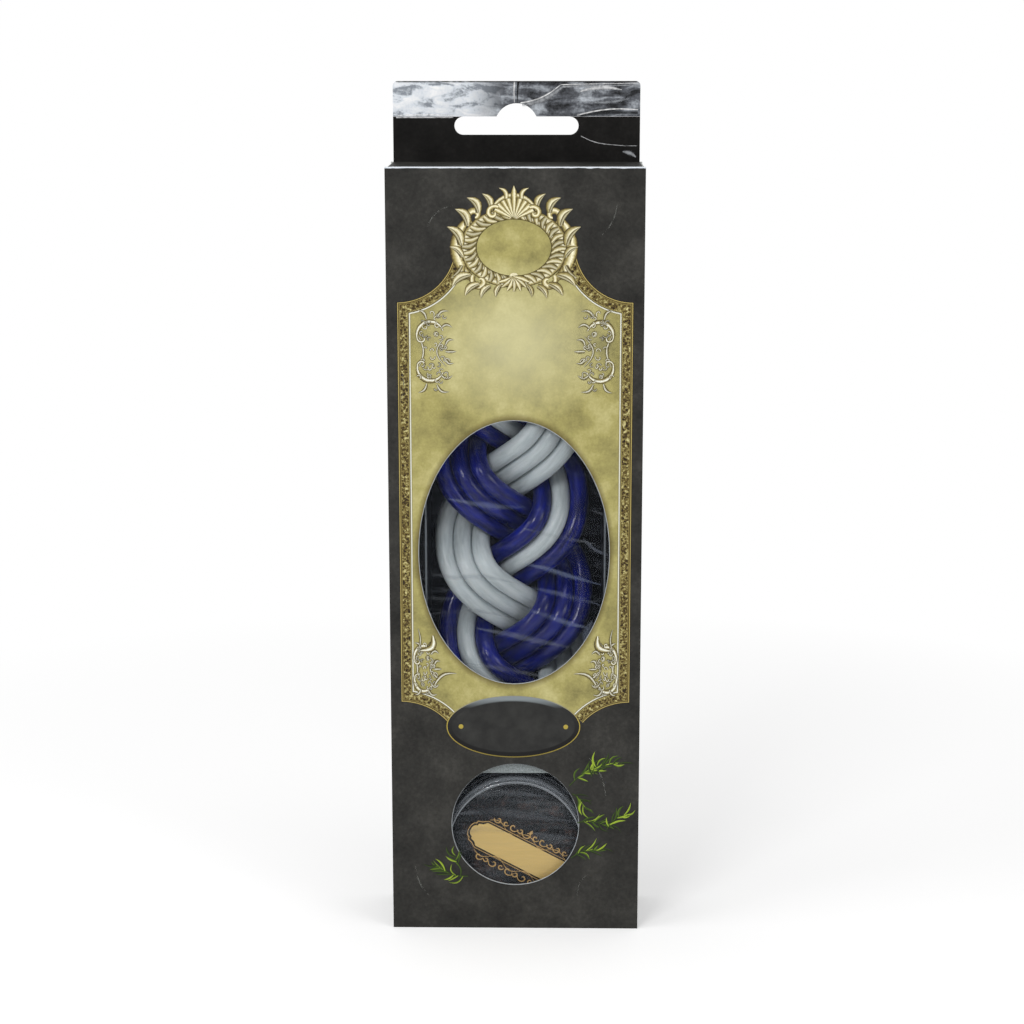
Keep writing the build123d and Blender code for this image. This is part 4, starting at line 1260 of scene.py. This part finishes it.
def dried_clove(new, place, xyz):
    """Dried clove buds: oily red-brown, with wrinkles a millimetre or two apart."""
    wrinkle, brown = mottled(new, place, 0.7, 3, ((0.4, "#0e0705"), (0.95, "#66402f")), 0.6)
    return {
        "Base Color": brown, "Roughness": 0.55, "Specular IOR Level": 0.4,
        "Normal": new("ShaderNodeBump", {"Height": wrinkle, "Strength": 0.35, "Distance": 0.0004}),
    }


# How far from the tub's axis a clove reaches, how near two may lie, and where its ends are
CLOVE_REACH, CLOVE_GAP, CLOVE_ENDS = 16.2, 3.1, (-6.3, 6.1)
MOST_TRIES = 6000


def clove_mesh(material):
    """One dried clove: a wrinkled stem, four splayed sepals and a round bud."""
    profile = (
        (0.0, -6.6), (0.5, -6.5), (0.75, -4.5), (0.95, -1.5), (1.2, 1.0), (1.5, 2.0), (1.9, 2.9),
        (1.2, 3.1), (1.6, 3.9), (1.75, 4.7), (1.35, 5.5), (0.6, 6.0), (0.0, 6.1),
    )
    points, steps = [], 12
    for j, (radius, z) in enumerate(profile):
        for i in range(steps):
            angle = 2 * pi * i / steps
            lobe = 1 + (0.35 if j in (5, 6) else 0.08) * cos(4 * angle)
            points.append((*on_oval((0.0, 0.0), radius * lobe, angle), z))
    mesh = mesh_mm("clove_form", points, ring_faces(len(profile), steps, closed=False))
    mesh.materials.append(material)
    return mesh


def clove_spots(count, seed):
    """Where each clove's middle lies and how it is turned, so that none stands out of the cup."""
    chance = random.Random(seed)
    first, last = cover_low.y + 3.6, cup_high.y - 3.2
    spots, turns, tries = [], [], 0
    while len(spots) < count and tries < MOST_TRIES:
        tries += 1
        x = TUB_CENTRE[0] + chance.uniform(-16, 16)
        spot = Vector((x, chance.uniform(first, last), TUB_CENTRE[1] + chance.uniform(-16, 8.5)))
        turn = chance.uniform(0, 2 * pi)
        ends = [spot + Vector((sin(turn), 0, cos(turn))) * s for s in CLOVE_ENDS]
        outside = any(hypot(e.x - TUB_CENTRE[0], e.z - TUB_CENTRE[1]) > CLOVE_REACH for e in ends)
        if outside or any((spot - other).length < CLOVE_GAP for other in spots):
            continue
        spots.append(spot)
        turns.append(Euler((chance.uniform(-0.12, 0.12), turn, 0)))
    return spots, turns


class TUB_OT_cloves(bpy.types.Operator):
    """Fills the tub with dried cloves"""

    bl_idname = "candle_box.cloves"
    bl_label = "Cloves"

    def execute(self, context):
        looks = context.scene.tub_looks
        brown = made_of("dried_clove", dried_clove)
        form = placed("clove_form", clove_mesh(brown))
        spots, turns = clove_spots(looks.cloves, looks.seed)
        tree, new, given = growing_tree("clove_pile", (
            ("Size", "NodeSocketFloat", 0.97), ("Seed", "NodeSocketInt", looks.seed)))
        shape = new("GeometryNodeObjectInfo", {0: form}, "Geometry")
        turned = new("GeometryNodeInputNamedAttribute", {"Name": "turn"}, data_type="FLOAT_VECTOR")
        spun = new("FunctionNodeEulerToRotation", {0: turned})
        least = new("ShaderNodeMath", {0: given["Size"], 1: 0.85}, operation="MULTIPLY")
        limits = {2: least, 3: given["Size"], "Seed": given["Seed"]}
        size = new("FunctionNodeRandomValue", limits, 1, data_type="FLOAT")
        laid = {"Points": given["Geometry"], "Instance": shape, "Rotation": spun, "Scale": size}
        end_tree(new, new("GeometryNodeInstanceOnPoints", laid), brown)
        mesh = mesh_mm("clove_pile", spots)
        flat = [v for t in turns for v in t]
        mesh.attributes.new("turn", "FLOAT_VECTOR", "POINT").data.foreach_set("vector", flat)
        pile = grown(placed("clove_pile", mesh), tree)
        bpy.data.objects.remove(form)
        hand_over(pile, "tub", ["cloves"])
        return {"FINISHED"}


def paper_sweep(new, place, xyz):
    """White paper sweep: shaded near the carton, plain white to the camera further off."""
    far = new("ShaderNodeVectorMath", {0: place}, "Value", operation="LENGTH")
    camera = new("ShaderNodeLightPath", out="Is Camera Ray")
    away = new("ShaderNodeMapRange", {0: far, 1: 110.0, 2: 330.0})
    camera_far = new("ShaderNodeMath", {0: away, 1: camera}, operation="MULTIPLY")
    lift = new("ShaderNodeMath", {0: camera, 1: 0.3}, operation="MULTIPLY")
    diffuse = new("ShaderNodeBsdfDiffuse", {"Color": (0.86, 0.86, 0.86, 1)})
    glow = new("ShaderNodeEmission", {"Color": (1, 1, 1, 1), "Strength": lift})
    near = new("ShaderNodeAddShader", {0: diffuse, 1: glow})
    plain = new("ShaderNodeEmission", {"Color": (1, 1, 1, 1), "Strength": 1.0})
    return new("ShaderNodeMixShader", {0: camera_far, 1: near, 2: plain})


# The camera, in metres and degrees, with its focal length and picture width in pixels
CAMERA_PLACE, CAMERA_TURN = (8.74 * MM, -575.07 * MM, 232.46 * MM), (90 - 11.937, 0.037, 0.965)
FOCAL_PIXELS, PICTURE_PIXELS = 2245.0, 1024.0
LIT_PLACE = Vector((0, 0, 0.1))
FLOOR_RINGS, FLOOR_STEPS = (150, 400, 900, 3000), 64


class STAGE_OT_stage(bpy.types.Operator):
    """Sets the pale floor, the soft lights and the camera"""

    bl_idname = "candle_box.stage"
    bl_label = "Stage"

    def execute(self, context):
        scene = context.scene
        looks = scene.stage_looks
        scene.view_settings.view_transform = "Standard"
        # A room that is plain white to the camera, and dimmer where it lights or is mirrored
        scene.world = bpy.data.worlds.new("white_room")
        scene.world.use_nodes = True
        scene.world.node_tree.nodes.clear()
        new = partial(add, scene.world.node_tree)
        rays = new("ShaderNodeLightPath", out=None)
        direct = {0: rays["Is Camera Ray"], 1: rays["Is Transmission Ray"]}
        seen = new("ShaderNodeMath", direct, operation="MAXIMUM")
        strength = new("ShaderNodeMapRange", {0: seen, 3: looks.sky, 4: 1.0})
        back = new("ShaderNodeBackground", {"Color": (1, 1, 1, 1), "Strength": strength})
        new("ShaderNodeOutputWorld", {"Surface": back}, None)

        steps, points, faces = FLOOR_STEPS, [(0, 0, 0)], []
        for k, radius in enumerate(FLOOR_RINGS):
            points += [(*on_oval((0, 0), radius, 2 * pi * i / steps), 0) for i in range(steps)]
            for i in range(steps):
                a, b = 1 + k * steps + i, 1 + k * steps + (i + 1) % steps
                faces.append([0, a, b] if k == 0 else [a - steps, a, b, b - steps])
        mesh = mesh_mm("floor", points, faces)
        mesh.materials.append(made_of("white_paper_sweep", paper_sweep))
        placed("floor", mesh)

        for name, place, size, power in (
            ("key", (-0.35, -0.75, 0.62), 0.32, looks.key),
            ("fill_right", (0.62, -0.5, 0.38), 0.4, looks.fill),
            ("fill_left", (-0.6, -0.25, 0.3), 0.35, looks.fill),
            ("top", (0.0, -0.05, 0.75), 0.45, looks.fill),
        ):
            light = bpy.data.lights.new(name, "AREA")
            light.energy = power
            light.size = size
            lamp = placed(name, light)
            lamp.location = place
            lamp.rotation_euler = (LIT_PLACE - Vector(place)).to_track_quat("-Z", "Y").to_euler()

        lens = bpy.data.cameras.new("camera")
        lens.sensor_width = 36.0
        lens.lens = FOCAL_PIXELS * lens.sensor_width / PICTURE_PIXELS
        lens.clip_start = 0.01
        scene.camera = placed("camera", lens)
        scene.camera.location = CAMERA_PLACE
        scene.camera.rotation_euler = [radians(turn) for turn in CAMERA_TURN]
        return {"FINISHED"}


GROUPS = (
    ("carton_looks", CartonLooks), ("candle_looks", CandleLooks),
    ("tub_looks", TubLooks), ("stage_looks", StageLooks),
)
OPERATORS = (
    CARTON_OT_board, CARTON_OT_tab_creases, CARTON_OT_gold_panel, CARTON_OT_crest,
    CARTON_OT_side_ornament, CARTON_OT_plaque, CARTON_OT_sprigs, CARTON_OT_windows, CARTON_OT_tray,
    CANDLE_OT_tapers, CANDLE_OT_wicks, TUB_OT_shell, TUB_OT_label, TUB_OT_cloves, STAGE_OT_stage,
)


class VIEW3D_PT_candle_box(bpy.types.Panel):
    """Lists the candle box's pieces and sizes in the sidebar"""

    bl_label = "Candle box"
    bl_space_type = "VIEW_3D"
    bl_region_type = "UI"
    bl_category = "Candle box"

    def draw(self, context):
        for key, group in GROUPS:
            values = getattr(context.scene, key)
            box = self.layout.box()
            for prop in group.__annotations__:
                box.prop(values, prop)
        for operator in OPERATORS:
            self.layout.operator(operator.bl_idname)


def register():
    """Registers the property groups, operators and panel."""
    for key, group in GROUPS:
        bpy.utils.register_class(group)
        setattr(bpy.types.Scene, key, PointerProperty(type=group))
    for operator in OPERATORS:
        bpy.utils.register_class(operator)
    bpy.utils.register_class(VIEW3D_PT_candle_box)


def unregister():
    """Removes everything that register added."""
    bpy.utils.unregister_class(VIEW3D_PT_candle_box)
    for operator in reversed(OPERATORS):
        bpy.utils.unregister_class(operator)
    for key, group in reversed(GROUPS):
        delattr(bpy.types.Scene, key)
        bpy.utils.unregister_class(group)


def main():
    """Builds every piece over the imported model."""
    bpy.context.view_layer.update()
    register()
    for operator in OPERATORS:
        group, name = operator.bl_idname.split(".")
        getattr(getattr(bpy.ops, group), name)()


if __name__ == "__main__":
    main()
